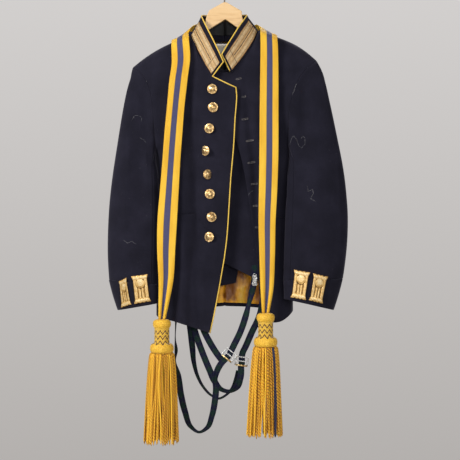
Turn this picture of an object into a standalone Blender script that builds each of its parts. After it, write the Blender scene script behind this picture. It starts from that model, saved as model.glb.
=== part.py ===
"""Officer's dress uniform on a wooden hanger, in metres, +Z up.

The tunic hangs open at the collar with its right front lapped over the left. A striped
sash with two tassels lies round the collar, the trousers are folded over the hanger's bar
inside the tunic, and their braces hang below the hem. Right and left are the wearer's:
right is -X. The front faces -Y, and the origin is where the hanger's hook bears.

All tables are in millimetres. Every cloth piece is a thin wall round a grid of points,
and pieces that are sewn together share the points and the normals of their seam.
"""

import math

import bmesh
import bpy
import numpy as np
from mathutils import Matrix, Vector
from mathutils.bvhtree import BVHTree

MM = 0.001

# Cloth
WOOL = 2.4
COLLAR = 3.0
LINING = 1.2
LACE = 1.0
LACE_LIFT = 0.5
RIBBON = 1.6
STRAP = 1.4
STRAP_WIDTH = 16.0
CLEARANCE = 0.3
CURVED_CLEARANCE = 1.0
PIPING_RADIUS = 1.1
PIPING_PLAY = 0.05
PIPING_CUT = 0.3

# Places well in front of and behind the cloth, to look from
IN_FRONT = -400.0
BEHIND = 100.0

# Armholes: a ring of points, 0 degrees at the shoulder tip and 90 at the front
ARMHOLE_STEPS = 20
ARMHOLE_FRONT = 42.0
ARMHOLE_BACK = 36.0

# How far in from an edge the cloth has turned from the edge to the flat of the panel
SIDE_TURN = 45.0
SHOULDER_TURN = 42.0
ARMHOLE_REACH = 105.0
QUIET_TOP = 40.0
QUIET_SIDE = 25.0
FOLD_FADE = 0.2


def table(columns, *rows):
    """A table as a dictionary of arrays, by the column names."""
    return dict(zip(columns.split(), np.array(rows, dtype=float).T))


def curve(keys, values, at):
    """A smooth line through the values at the keys, read at the places given."""
    keys = np.asarray(keys, dtype=float)
    values = np.asarray(values, dtype=float)
    at = np.asarray(at, dtype=float)
    if keys[0] > keys[-1]:
        keys = keys[::-1]
        values = values[::-1]
    slopes = np.gradient(values, keys, axis=0)
    span = np.clip(np.searchsorted(keys, at) - 1, 0, len(keys) - 2)
    width = keys[span + 1] - keys[span]
    share = np.clip((at - keys[span]) / width, 0.0, 1.0)
    if values.ndim > 1:
        share = share[..., None]
        width = width[..., None]
    squared = share * share
    cubed = squared * share
    start = (2 * cubed - 3 * squared + 1) * values[span]
    leave = (cubed - 2 * squared + share) * width * slopes[span]
    end = (3 * squared - 2 * cubed) * values[span + 1]
    arrive = (cubed - squared) * width * slopes[span + 1]
    return start + leave + end + arrive


def along(points, shares):
    """Points at the given shares of the length of a line."""
    points = np.asarray(points, dtype=float)
    lengths = np.linalg.norm(np.diff(points, axis=0), axis=1)
    keys = np.concatenate([[0.0], np.cumsum(lengths)])
    return curve(keys / keys[-1], points, shares)


def even(count):
    """Shares from 0 to 1 in equal steps."""
    return np.linspace(0.0, 1.0, count + 1)


def turned(distance, reach):
    """0 at an edge and 1 past its reach, along a quarter circle."""
    rest = 1.0 - np.clip(np.asarray(distance, dtype=float) / reach, 0.0, 1.0)
    return np.sqrt(1.0 - rest * rest)


def eased(value):
    """A smooth step from 0 to 1."""
    value = np.clip(value, 0.0, 1.0)
    return value * value * (3.0 - 2.0 * value)


def unit(vectors):
    """Vectors of length 1."""
    vectors = np.asarray(vectors, dtype=float)
    return vectors / np.maximum(np.linalg.norm(vectors, axis=-1, keepdims=True), 1e-9)


def columns_of(source, names):
    """Some columns of a table as an array of points."""
    return np.stack([source[name] for name in names.split()], axis=1)


# Tunic: shoulder lines from the sleeve's top to the neck, on the seam at y = 0
SHOULDER = {
    "right": table("x y z", (-229, 0, -230), (-201, 0, -207.5), (-166, 0, -184.5),
                   (-131, 0, -167.5), (-86, 0, -150)),
    "left": table("x y z", (230, 0, -213), (199.5, 0, -187), (177, 0, -172),
                  (128, 0, -153), (85, 0, -138)),
}

# Armholes, from the shoulder to the underarm, and how far the underarm is down
ARMHOLE = {
    "right": table("z x", (-230, -229), (-248, -204), (-275, -188), (-320, -178),
                   (-370, -175), (-410, -174.5), (-440, -176)),
    "left": table("z x", (-213, 230), (-230, 208), (-254, 187), (-290, 171),
                  (-330, 161), (-370, 158), (-410, 161), (-430, 166)),
}

# Side seams, below the underarm
SIDE = {
    "right": table("z x y", (-440, -176, 0), (-455, -171.5, 4), (-480, -169.5, 9),
                   (-530, -168.5, 13), (-613, -168, 14), (-730, -169, 14), (-850, -170, 14)),
    "left": table("z x y", (-430, 166, 0), (-445, 163.5, 4), (-470, 163.5, 9),
                  (-520, 165, 13), (-610, 168, 14), (-730, 170, 14), (-838, 171, 14)),
}

# Necklines from the shoulder seam forward to the collar's end, and back to the centre
NECK_FRONT = {
    "right": table("x y z", (-86, 0, -150), (-84, -14, -163), (-76, -26, -182),
                   (-62, -36, -207), (-47, -44, -232), (-31, -50, -257)),
    "left": table("x y z", (85, 0, -138), (83, -13, -150), (74, -24, -170),
                  (58, -33, -195), (38, -40, -222), (17, -44, -247)),
}
NECK_BACK = {
    "right": table("x y z", (-86, 0, -150), (-84, 14, -152), (-70, 27, -156),
                   (-40, 36, -159), (0, 38, -160)),
    "left": table("x y z", (85, 0, -138), (83, 14, -141), (70, 27, -147),
                  (40, 36, -156), (0, 38, -160)),
}

# From the collar's end to the top corner of each front
NOTCH = {
    "right": table("x y z", (-31, -50, -257), (-2, -50, -272), (27, -49, -285)),
    "left": table("x y z", (17, -44, -247), (-9, -42, -246), (-35, -40, -243)),
}

# Front edges, from the top corner to the hem
FRONT_EDGE = {
    "right": table("z x", (-285, 27), (-298, 28.5), (-355, 25), (-430, 21), (-509, 14),
                   (-574, 10), (-660, 4), (-716, -3.5), (-773, -14), (-825, -23), (-889, -37)),
    "left": table("z x", (-243, -35), (-330, -4), (-426, 33), (-487, 48), (-561, 60.5),
                  (-623, 70), (-684, 78), (-746, 82.6), (-859, 92.5)),
}

# Hems, from the side seam to the front edge and to the centre of the back
HEM_FRONT = {
    "right": table("x z", (-170, -850), (-150, -856), (-125, -860), (-100, -868), (-37, -889)),
    "left": table("x z", (171, -838), (156, -852), (141, -861), (115, -864), (92.5, -859)),
}
HEM_BACK = {
    "right": table("x z", (-170, -850), (-120, -842), (-60, -832), (0, -827)),
    "left": table("x z", (171, -838), (120, -834), (60, -829), (0, -827)),
}

# How far forward or back the flat of each panel lies
DEPTH_FRONT = {
    "right": table("z y", (-150, -36), (-250, -44), (-350, -46), (-450, -45), (-600, -42),
                   (-750, -43), (-900, -44)),
    "left": table("z y", (-150, -30), (-250, -38), (-350, -38), (-450, -36), (-600, -33),
                  (-750, -32), (-900, -30)),
}
DEPTH_BACK = table("z y", (-150, 36), (-250, 36), (-400, 34), (-600, 30), (-830, 31))

# Folds: from the top point to the foot, the half width, and the rise towards the front
FOLDS = {
    "right_front": table("x_top z_top x_foot z_foot width rise",
                         (-90, -215, -68, -590, 13, -6), (-108, -230, -92, -600, 16, 5),
                         (-130, -600, -130, -940, 12, -6), (-106, -560, -106, -940, 13, 5),
                         (-82, -640, -84, -940, 14, -4), (-144, -420, -124, -590, 13, 3)),
    "left_front": table("x_top z_top x_foot z_foot width rise",
                        (134, -443, 148, -807, 9, -9), (120, -400, 122, -700, 14, 4),
                        (115, -640, 115, -930, 10, -5), (141, -700, 141, -930, 9, 5),
                        (90, -330, 104, -600, 16, -4)),
    "right_back": table("x_top z_top x_foot z_foot width rise",
                        (-110, -260, -96, -600, 18, -4), (-60, -420, -54, -620, 16, 3),
                        (-128, -600, -124, -930, 13, -4), (-84, -620, -80, -930, 14, 5),
                        (-44, -640, -40, -930, 12, -3)),
    "left_back": table("x_top z_top x_foot z_foot width rise",
                       (112, -250, 100, -590, 17, -4), (66, -400, 60, -610, 15, 3),
                       (130, -610, 132, -930, 12, -4), (92, -630, 90, -930, 15, 4),
                       (50, -650, 48, -930, 11, -3)),
}

# Sleeves: the outer and inner outlines and half the depth, at heights down the sleeve
SLEEVE_OUTER = {
    "right": table("z x y", (-230, -229, 0), (-274, -241, 1), (-337, -254, 3), (-417, -267, 4),
                   (-497, -280, 5), (-572, -289, 5), (-660, -292.5, 5), (-699, -293, 5),
                   (-757, -289, 5), (-802, -278, 5), (-836, -266, 5)),
    "left": table("z x y", (-213, 230, 0), (-238, 244, -1), (-292, 257, -3), (-363, 273, -5),
                  (-444, 289, -6), (-506, 302, -7), (-564, 306.5, -8), (-660, 306.5, -8),
                  (-721, 300, -8), (-780, 289, -8), (-835, 271, -8)),
}
SLEEVE_INNER = {
    "right": table("z x y", (-440, -176, 0), (-455, -178, -6), (-480, -173.5, -15),
                   (-530, -169.5, -23), (-600, -168, -27), (-660, -168.5, -28),
                   (-757, -171, -26), (-816, -167, -25)),
    "left": table("z x y", (-430, 166, 0), (-446, 169, -7), (-470, 164.5, -18),
                  (-540, 160.5, -30), (-600, 158, -36), (-660, 156, -38), (-757, 153.5, -38),
                  (-805, 152, -38)),
}
SLEEVE_DEPTH = {
    "right": table("z half", (-230, 42), (-335, 41), (-450, 40), (-600, 38), (-757, 36),
                   (-836, 34)),
    "left": table("z half", (-213, 38), (-320, 37), (-450, 34), (-600, 30), (-757, 29),
                  (-835, 30)),
}
SLEEVE_SETTLE = 110.0
SLEEVE_SETTLE_LEAST = 5.0
SLEEVE_ROWS = (0, 0.035, 0.08, 0.14, 0.22, 0.32, 0.43, 0.55, 0.67, 0.78, 0.875, 0.94, 1)
CUFF_ROW = 10
CUFF_THICKNESS = 3.4
CUFF_END = {"right": (-825.5, -9.5), "left": (-819.5, -14.5)}
TOP_SLEEVE = (-4, 8)
FOLDS["right_sleeve"] = table("x_top z_top x_foot z_foot width rise",
                              (-205, -290, -218, -640, 11, -4), (-236, -330, -252, -720, 14, 3),
                              (-264, -480, -250, -640, 12, -3))
FOLDS["left_sleeve"] = table("x_top z_top x_foot z_foot width rise",
                             (188, -270, 198, -640, 11, -4), (226, -300, 250, -700, 14, 3),
                             (275, -470, 268, -660, 12, -3))

# Rows of the body panels: shares of the side seam, above the waist and in the skirt
WAIST_ROWS = (0.07, 0.23, 0.5, 0.76, 1.0)
SKIRT_ROWS = (0.2, 0.4, 0.6, 0.8, 1.0)
WAIST = {"right": -613.0, "left": -610.0}
SHOULDER_SHARES = (0, 0.07, 0.2, 0.38, 0.58, 0.79, 1)
FRONT_NECK_STEPS = 5
BACK_NECK_STEPS = 4
NOTCH_STEPS = 3
SHOULDER_STEPS = len(SHOULDER_SHARES) - 1
WAIST_ROW = ARMHOLE_STEPS // 2 + len(WAIST_ROWS)
HEM_ROW = WAIST_ROW + len(SKIRT_ROWS)


def armhole(side, angles):
    """Points of an armhole at angles from its top, forward and down."""
    ring = ARMHOLE[side]
    top = ring["z"][0]
    low = ring["z"][-1]
    sine = np.sin(angles)
    z = (top + low) / 2 + (top - low) / 2 * np.cos(angles)
    x = curve(ring["z"], ring["x"], z)
    y = -np.where(sine > 0, ARMHOLE_FRONT, ARMHOLE_BACK) * sine
    return np.stack([x, y, z], axis=-1)


def armhole_normals(side, angles):
    """Outward directions shared by the body and the sleeve along the armhole."""
    outward = math.copysign(0.3, ARMHOLE[side]["x"][0])
    cosine = np.cos(angles)
    return unit(np.stack([outward * (1 + cosine) / 2, -np.sin(angles), cosine], axis=-1))


def folded(name, x, z):
    """How far the folds of a panel carry it towards the front."""
    folds = FOLDS[name]
    total = np.zeros_like(x)
    for k in range(len(folds["rise"])):
        drop = folds["z_top"][k] - folds["z_foot"][k]
        share = (folds["z_top"][k] - z) / drop
        middle = folds["x_top"][k] + (folds["x_foot"][k] - folds["x_top"][k]) * share
        ends = eased(share / FOLD_FADE) * eased((1 - share) / FOLD_FADE)
        total += folds["rise"][k] * np.exp(-((x - middle) / folds["width"][k]) ** 2) * ends
    return total


def outer_seam(side, angle_sign):
    """The armhole and side seam of a panel, a point for each of its rows."""
    half = ARMHOLE_STEPS // 2
    angles = angle_sign * np.arange(half + 1) * 2 * math.pi / ARMHOLE_STEPS
    line = SIDE[side]
    start = line["z"][0]
    hem = line["z"][-1]
    upper = start + (WAIST[side] - start) * np.array(WAIST_ROWS)
    skirt = WAIST[side] + (hem - WAIST[side]) * np.array(SKIRT_ROWS)
    heights = np.concatenate([upper, skirt])
    seam = np.stack([curve(line["z"], line["x"], heights), curve(line["z"], line["y"], heights),
                     heights], axis=1)
    return np.concatenate([armhole(side, angles), seam])


def spread(top, low, left, right):
    """Points between four edges, as x and z; the depth comes afterwards."""
    across = (top[:, 0] - top[0, 0]) / (top[-1, 0] - top[0, 0])
    down = (left[:, 2] - left[0, 2]) / (left[-1, 2] - left[0, 2])
    u = across[None, :, None]
    v = down[:, None, None]
    corners = ((1 - u) * (1 - v) * top[0] + u * (1 - v) * top[-1]
               + (1 - u) * v * low[0] + u * v * low[-1])
    return ((1 - v) * top[None] + v * low[None] + (1 - u) * left[:, None]
            + u * right[:, None] - corners)


def panel(name, side, top, low, right_edge, flat, angle_sign):
    """A body panel: its outline filled in, bulged to its depth and folded."""
    left = outer_seam(side, angle_sign)
    grid = spread(top, low, left, right_edge)
    x = grid[..., 0]
    z = grid[..., 2]
    depth = curve(flat["z"], flat["y"], z)
    half = ARMHOLE_STEPS // 2
    from_side = np.abs(x - left[:, None, 0])
    from_top = np.abs(z - top[None, :, 2])
    reach = SHOULDER_TURN + (ARMHOLE_REACH - SHOULDER_TURN) * (1 - eased(from_side / SIDE_TURN))
    top_turn = turned(from_top, reach)
    side_turn = turned(from_side, SIDE_TURN)
    side_depth = np.where(np.arange(len(left))[:, None] >= half / 2, left[:, None, 1], depth)
    bulge = (top[None, :, 1] - depth) * (1 - top_turn) + (side_depth - depth) * (1 - side_turn)
    quiet = eased(from_top / QUIET_TOP) * eased(from_side / QUIET_SIDE)
    grid[..., 1] = depth + bulge - folded(name, x, z) * quiet
    grid[:, 0] = left
    grid[0] = top
    return grid


def front_points(side):
    """The front panel from the shoulder to the hem."""
    shoulder = along(columns_of(SHOULDER[side], "x y z"), SHOULDER_SHARES)
    neck = along(columns_of(NECK_FRONT[side], "x y z"), even(FRONT_NECK_STEPS))
    notch = along(columns_of(NOTCH[side], "x y z"), even(NOTCH_STEPS))
    top = np.concatenate([shoulder, neck[1:], notch[1:]])
    across = (top[:, 0] - top[0, 0]) / (top[-1, 0] - top[0, 0])
    hem = HEM_FRONT[side]
    low = np.zeros_like(top)
    low[:, 0] = hem["x"][0] + (hem["x"][-1] - hem["x"][0]) * across
    low[:, 2] = curve(hem["x"], hem["z"], low[:, 0])
    left = outer_seam(side, 1)
    down = (left[:, 2] - left[0, 2]) / (left[-1, 2] - left[0, 2])
    line = FRONT_EDGE[side]
    edge = np.zeros((len(down), 3))
    edge[:, 2] = line["z"][0] + (line["z"][-1] - line["z"][0]) * down
    edge[:, 0] = curve(line["z"], line["x"], edge[:, 2])
    return panel(side + "_front", side, top, low, edge, DEPTH_FRONT[side], 1)


def back_points(side):
    """The back panel from the shoulder to the hem, to the centre of the back."""
    shoulder = along(columns_of(SHOULDER[side], "x y z"), SHOULDER_SHARES)
    neck = along(columns_of(NECK_BACK[side], "x y z"), even(BACK_NECK_STEPS))
    top = np.concatenate([shoulder, neck[1:]])
    across = (top[:, 0] - top[0, 0]) / (top[-1, 0] - top[0, 0])
    hem = HEM_BACK[side]
    low = np.zeros_like(top)
    low[:, 0] = hem["x"][0] + (hem["x"][-1] - hem["x"][0]) * across
    low[:, 2] = curve(hem["x"], hem["z"], low[:, 0])
    left = outer_seam("right", -1)
    down = (left[:, 2] - left[0, 2]) / (left[-1, 2] - left[0, 2])
    centre = np.zeros((len(down), 3))
    centre[:, 2] = top[-1, 2] + (low[-1, 2] - top[-1, 2]) * down
    return panel(side + "_back", side, top, low, centre, DEPTH_BACK, -1)


def sleeve_points(side):
    """The whole sleeve, a closed ring of columns from the shoulder tip, by the front."""
    angles = np.arange(ARMHOLE_STEPS + 1) * 2 * math.pi / ARMHOLE_STEPS
    start = armhole(side, angles)
    level, rise = CUFF_END[side]
    finish = level + rise * np.cos(angles)
    shares = np.array(SLEEVE_ROWS)[:, None]
    z = start[None, :, 2] + (finish - start[:, 2])[None] * shares
    outer = SLEEVE_OUTER[side]
    inner = SLEEVE_INNER[side]
    outer_x = curve(outer["z"], outer["x"], z)
    inner_x = curve(inner["z"], inner["x"], z)
    outer_y = curve(outer["z"], outer["y"], z)
    inner_y = curve(inner["z"], inner["y"], z)
    half = curve(SLEEVE_DEPTH[side]["z"], SLEEVE_DEPTH[side]["half"], z)
    cosine = np.cos(angles)[None]
    sine = np.sin(angles)[None]
    x = (outer_x + inner_x) / 2 + (outer_x - inner_x) / 2 * cosine
    y = (outer_y + inner_y) / 2 + (outer_y - inner_y) / 2 * cosine - half * sine
    settle = SLEEVE_SETTLE * np.abs(sine) + SLEEVE_SETTLE_LEAST
    blend = eased((start[None, :, 2] - z) / settle)
    grid = np.stack([start[None, :, 0] + (x - start[None, :, 0]) * blend,
                     start[None, :, 1] + (y - start[None, :, 1]) * blend, z], axis=-1)
    crease = folded(side + "_sleeve", grid[..., 0], z) * np.maximum(sine, 0)
    grid[..., 1] -= crease * (shares > 0)
    return grid


class Sheet:
    """A grid of points on a cloth surface with its outward directions."""

    def __init__(self, points, centre, closed=False):
        self.points = points
        down = np.gradient(points, axis=0)
        across = np.gradient(points, axis=1)
        if closed:
            around = np.concatenate([points[:, -2:-1], points, points[:, 1:2]], axis=1)
            across = np.gradient(around, axis=1)[:, 1:-1]
        self.normals = unit(np.cross(across, down))
        if np.sum(self.normals * (points - np.asarray(centre, dtype=float))) < 0:
            self.normals = -self.normals

    def cut(self, rows, cols):
        """Part of the grid, by its first and last rows and columns."""
        part = Sheet.__new__(Sheet)
        part.points = self.points[rows[0]:rows[1] + 1, cols[0]:cols[1] + 1].copy()
        part.normals = self.normals[rows[0]:rows[1] + 1, cols[0]:cols[1] + 1].copy()
        return part

    def read(self, rows, cols):
        """Points and directions between the lines of the grid, on its triangles."""
        part = Sheet.__new__(Sheet)
        rows = np.asarray(rows, dtype=float)
        cols = np.asarray(cols, dtype=float)
        row = np.clip(np.floor(rows).astype(int), 0, self.points.shape[0] - 2)
        col = np.clip(np.floor(cols).astype(int), 0, self.points.shape[1] - 2)
        down = (rows - row)[:, None, None]
        across = (cols - col)[None, :, None]
        for field in ("points", "normals"):
            grid = getattr(self, field)
            first = grid[np.ix_(row, col)]
            far = grid[np.ix_(row + 1, col + 1)]
            beside = grid[np.ix_(row, col + 1)]
            below = grid[np.ix_(row + 1, col)]
            upper = first + across * (beside - first) + down * (far - beside)
            lower = first + down * (below - first) + across * (far - below)
            setattr(part, field, np.where(across >= down, upper, lower))
        return part

    def edge(self, name):
        """Points, directions and inner neighbours along one edge."""
        where = {"top": (0, 1), "low": (-1, -2), "start": (0, 1), "end": (-1, -2)}[name]
        if name in ("top", "low"):
            return self.points[where[0]], self.normals[where[0]], self.points[where[1]]
        return self.points[:, where[0]], self.normals[:, where[0]], self.points[:, where[1]]

    def outward(self, name):
        """Directions in the cloth, away from it, along one edge."""
        points, normals, inner = self.edge(name)
        across = unit(np.cross(np.gradient(points, axis=0), normals))
        sign = np.sign(np.sum(across * (points - inner), axis=1, keepdims=True))
        return across * sign

    def trimmed(self, seams, amount=CLEARANCE / 2):
        """The grid with its seam edges drawn in."""
        part = self.cut((0, self.points.shape[0]), (0, self.points.shape[1]))
        for name in seams.split():
            shift = self.outward(name) * amount
            if name == "top":
                part.points[0] -= shift
            elif name == "low":
                part.points[-1] -= shift
            elif name == "start":
                part.points[:, 0] -= shift
            else:
                part.points[:, -1] -= shift
        return part


def share_normals(sheets):
    """Give the edge points that sheets have in common one direction."""
    meeting = {}
    for sheet in sheets:
        last_row = sheet.points.shape[0] - 1
        last_col = sheet.points.shape[1] - 1
        for row in range(last_row + 1):
            for col in range(last_col + 1):
                if row in (0, last_row) or col in (0, last_col):
                    place = tuple(np.round(sheet.points[row, col], 1) + 0.0)
                    meeting.setdefault(place, []).append((sheet, row, col))
    for places in meeting.values():
        total = unit(sum(sheet.normals[row, col] for sheet, row, col in places))
        for sheet, row, col in places:
            sheet.normals[row, col] = total


def joined(first, second):
    """One sheet from two that mirror each other and meet at their last columns."""
    both = Sheet.__new__(Sheet)
    both.points = np.concatenate([first.points, second.points[:, -2::-1]], axis=1)
    both.normals = np.concatenate([first.normals, second.normals[:, -2::-1]], axis=1)
    return both


def ring_part(sheet, first, last):
    """Columns of a closed ring from one to another, past its start if need be."""
    cols = np.arange(first, last + 1) % ARMHOLE_STEPS
    part = Sheet.__new__(Sheet)
    part.points = sheet.points[:, cols]
    part.normals = sheet.normals[:, cols]
    return part


# Materials: colour, roughness and metal
COLOURS = {
    "wool": ((0.012, 0.012, 0.022), 0.9, 0.0),
    "satin_black": ((0.02, 0.02, 0.022), 0.4, 0.0),
    "lining_olive": ((0.16, 0.16, 0.13), 0.6, 0.0),
    "lining_gold": ((0.62, 0.3, 0.02), 0.45, 0.0),
    "yellow_cord": ((0.78, 0.46, 0.04), 0.7, 0.0),
    "sash": ((0.85, 0.52, 0.03), 0.6, 0.0),
    "tassel": ((0.75, 0.38, 0.02), 0.6, 0.0),
    "gold_lace": ((0.6, 0.36, 0.14), 0.5, 0.6),
    "gilt": ((0.75, 0.5, 0.24), 0.3, 1.0),
    "tape": ((0.55, 0.5, 0.42), 0.7, 0.0),
    "tartan": ((0.01, 0.02, 0.03), 0.8, 0.0),
    "white_metal": ((0.7, 0.7, 0.68), 0.3, 1.0),
    "wood": ((0.8, 0.58, 0.34), 0.5, 0.0),
    "steel": ((0.6, 0.6, 0.6), 0.3, 1.0),
}


def material(name):
    """The named material, made when it is first asked for."""
    if name in bpy.data.materials:
        return bpy.data.materials[name]
    colour, roughness, metal = COLOURS[name]
    made = bpy.data.materials.new(name)
    made.use_nodes = True
    shader = made.node_tree.nodes["Principled BSDF"]
    shader.inputs["Base Color"].default_value = (*colour, 1.0)
    shader.inputs["Roughness"].default_value = roughness
    shader.inputs["Metallic"].default_value = metal
    made.diffuse_color = (*colour, 1.0)
    return made


def add_object(name, mesh, finish):
    """A named object of a finished mesh, under the uniform's empty."""
    mesh.materials.append(material(finish))
    mesh.shade_smooth()
    mesh.set_sharp_from_angle(angle=math.radians(40))
    thing = bpy.data.objects.new(name, mesh)
    bpy.context.scene.collection.objects.link(thing)
    thing.parent = bpy.data.objects["uniform"]
    return thing


def add_solid(name, points, faces, finish):
    """An object from points in millimetres and faces, closed and facing out."""
    shape = bmesh.new()
    corners = [shape.verts.new(Vector(point) * MM) for point in points]
    for face in faces:
        shape.faces.new([corners[k] for k in face])
    bmesh.ops.recalc_face_normals(shape, faces=shape.faces[:])
    mesh = bpy.data.meshes.new(name)
    shape.to_mesh(mesh)
    shape.free()
    return add_object(name, mesh, finish)


def wall(name, sheet, thickness, finish, lift=0.0, closed=False, raised=None):
    """A cloth piece as a wall round its sheet, or moved off it along its directions."""
    rows, cols = sheet.points.shape[:2]
    if closed:
        cols -= 1
    outer = sheet.points + sheet.normals * (lift + thickness / 2)
    inner = sheet.points + sheet.normals * (lift - thickness / 2)
    if raised is not None:
        outer = outer + sheet.normals * raised[..., None]
    points = np.concatenate([outer[:, :cols].reshape(-1, 3), inner[:, :cols].reshape(-1, 3)])
    below = rows * cols
    faces = []
    for row in range(rows - 1):
        for col in range(cols if closed else cols - 1):
            beside = (col + 1) % cols
            square = [row * cols + col, row * cols + beside, (row + 1) * cols + beside,
                      (row + 1) * cols + col]
            faces.append(square)
            faces.append([below + square[k] for k in (0, 3, 2, 1)])
    last = (rows - 1) * cols
    for col in range(cols if closed else cols - 1):
        beside = (col + 1) % cols
        faces.append([col, below + col, below + beside, beside])
        faces.append([last + col, last + beside, below + last + beside, below + last + col])
    for row in range(0 if closed else rows - 1):
        a = row * cols
        b = a + cols
        faces.append([a, b, below + b, below + a])
        a += cols - 1
        b += cols - 1
        faces.append([a, below + a, below + b, b])
    return add_solid(name, points, faces, finish)


def skin(sheet, lift):
    """The surface of a piece, to lay others on, in millimetres."""
    rows, cols = sheet.points.shape[:2]
    points = (sheet.points + sheet.normals * lift).reshape(-1, 3)
    faces = [[row * cols + col, row * cols + col + 1, (row + 1) * cols + col + 1,
              (row + 1) * cols + col] for row in range(rows - 1) for col in range(cols - 1)]
    return BVHTree.FromPolygons([Vector(point) for point in points], faces)


def front_of(tree, x, z):
    """The frontmost point of a surface at a place seen from the front."""
    hit = tree.ray_cast(Vector((x, IN_FRONT, z)), Vector((0.0, 1.0, 0.0)))[0]
    return np.array(hit)


def tube(name, points, radius, finish, resolution=1):
    """A cord or wire of even thickness along a line of points."""
    line = bpy.data.curves.new(name, "CURVE")
    line.dimensions = "3D"
    line.bevel_depth = radius * MM
    line.bevel_resolution = resolution
    line.use_fill_caps = True
    run = line.splines.new("POLY")
    run.points.add(len(points) - 1)
    for spot, point in zip(run.points, points):
        spot.co = (*(np.asarray(point) * MM), 1.0)
    line.materials.append(material(finish))
    thing = bpy.data.objects.new(name, line)
    bpy.context.scene.collection.objects.link(thing)
    thing.parent = bpy.data.objects["uniform"]
    return thing


# Collar: its top edge from the front end to the centre of the back
COLLAR_TOP = {
    "right": table("x y z", (-4, -57, -222), (-16, -52, -195), (-30, -42, -165),
                   (-43, -30, -138), (-53, -17, -116), (-58, -3, -103), (-57.5, 12, -98),
                   (-49, 24, -96), (-29, 32, -97), (0, 34, -98)),
    "left": table("x y z", (-5, -50, -203), (9.5, -46, -178), (23.5, -38, -155),
                  (36, -28, -133), (48, -16, -115), (56, -3, -102), (57, 12, -97),
                  (49, 24, -95), (29, 32, -96), (0, 34, -98)),
}
COLLAR_CENTRE = (0.0, 0.0, -130.0)
COLLAR_ROWS = 3
COLLAR_SEAM = 1.1
LACE_COLS = (0.16, 1, 2, 3, 4, 4.6)
LACE_ROWS = (0.55, 1, 2, 2.75)


def collar_points(side):
    """The stand collar from its front end to the centre of the back, its top row first."""
    front = along(columns_of(NECK_FRONT[side], "x y z"), even(FRONT_NECK_STEPS))
    back = along(columns_of(NECK_BACK[side], "x y z"), even(BACK_NECK_STEPS))
    base = np.concatenate([front[::-1], back[1:]])
    top = columns_of(COLLAR_TOP[side], "x y z")
    share = even(COLLAR_ROWS)[:, None, None]
    return top[None] * (1 - share) + base[None] * share


def make_sheets():
    """The surfaces of the tunic, with one direction where pieces meet."""
    sheets = {}
    for side in ("right", "left"):
        sheets[side + "_front"] = Sheet(front_points(side), (0, 0, -500))
        sheets[side + "_back"] = Sheet(back_points(side), (0, 0, -500))
        middle = (SLEEVE_OUTER[side]["x"].mean() + SLEEVE_INNER[side]["x"].mean()) / 2
        sheets[side + "_sleeve"] = Sheet(sleeve_points(side), (middle, -10, -500), closed=True)
        sheets[side + "_collar"] = Sheet(collar_points(side), COLLAR_CENTRE)
    share_normals([sheet for name, sheet in sheets.items() if "sleeve" not in name])
    angles = np.arange(ARMHOLE_STEPS + 1) * 2 * math.pi / ARMHOLE_STEPS
    half = ARMHOLE_STEPS // 2
    for side in ("right", "left"):
        ring = armhole_normals(side, angles)
        sheets[side + "_sleeve"].normals[0] = ring
        sheets[side + "_front"].normals[:half + 1, 0] = ring[:half + 1]
        sheets[side + "_back"].normals[:half + 1, 0] = ring[:half - 1:-1]
    return sheets


def make_tunic(sheets):
    """The tunic's wool panels, sleeves, cuffs and collar."""
    for side in ("right", "left"):
        front = sheets[side + "_front"]
        last = front.points.shape[1] - 1
        upper = front.cut((0, WAIST_ROW), (0, last)).trimmed("top low start")
        wall(side + "_front", upper, WOOL, "wool")
        skirt = front.cut((WAIST_ROW, HEM_ROW), (0, last)).trimmed("top start")
        wall(side + "_front_skirt", skirt, WOOL, "wool")
        back = sheets[side + "_back"]
        last = back.points.shape[1] - 1
        upper = back.cut((0, WAIST_ROW), (0, last)).trimmed("top low start end")
        wall(side + "_back", upper, WOOL, "wool")
        skirt = back.cut((WAIST_ROW, HEM_ROW), (0, last)).trimmed("top start end")
        wall(side + "_back_skirt", skirt, WOOL, "wool")
        sleeve = sheets[side + "_sleeve"]
        above = sleeve.cut((0, CUFF_ROW), (0, ARMHOLE_STEPS))
        top_half = ring_part(above, *TOP_SLEEVE).trimmed("top low start end")
        wall(side + "_top_sleeve", top_half, WOOL, "wool")
        lower_half = ring_part(above, TOP_SLEEVE[1], TOP_SLEEVE[0] + ARMHOLE_STEPS)
        wall(side + "_under_sleeve", lower_half.trimmed("top low start end"), WOOL, "wool")
        cuff = sleeve.cut((CUFF_ROW, len(SLEEVE_ROWS) - 1), (0, ARMHOLE_STEPS)).trimmed("top")
        wall(side + "_cuff", cuff, CUFF_THICKNESS, "wool", lift=(CUFF_THICKNESS - WOOL) / 2,
             closed=True)
        collar = sheets[side + "_collar"].trimmed("low", COLLAR_SEAM).trimmed("end")
        wall("collar_" + side, collar, COLLAR, "wool")
        lace = sheets[side + "_collar"].read(LACE_ROWS, LACE_COLS)
        wall("collar_lace_" + side, lace, LACE, "gold_lace",
             lift=COLLAR / 2 + LACE_LIFT + LACE / 2)


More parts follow.
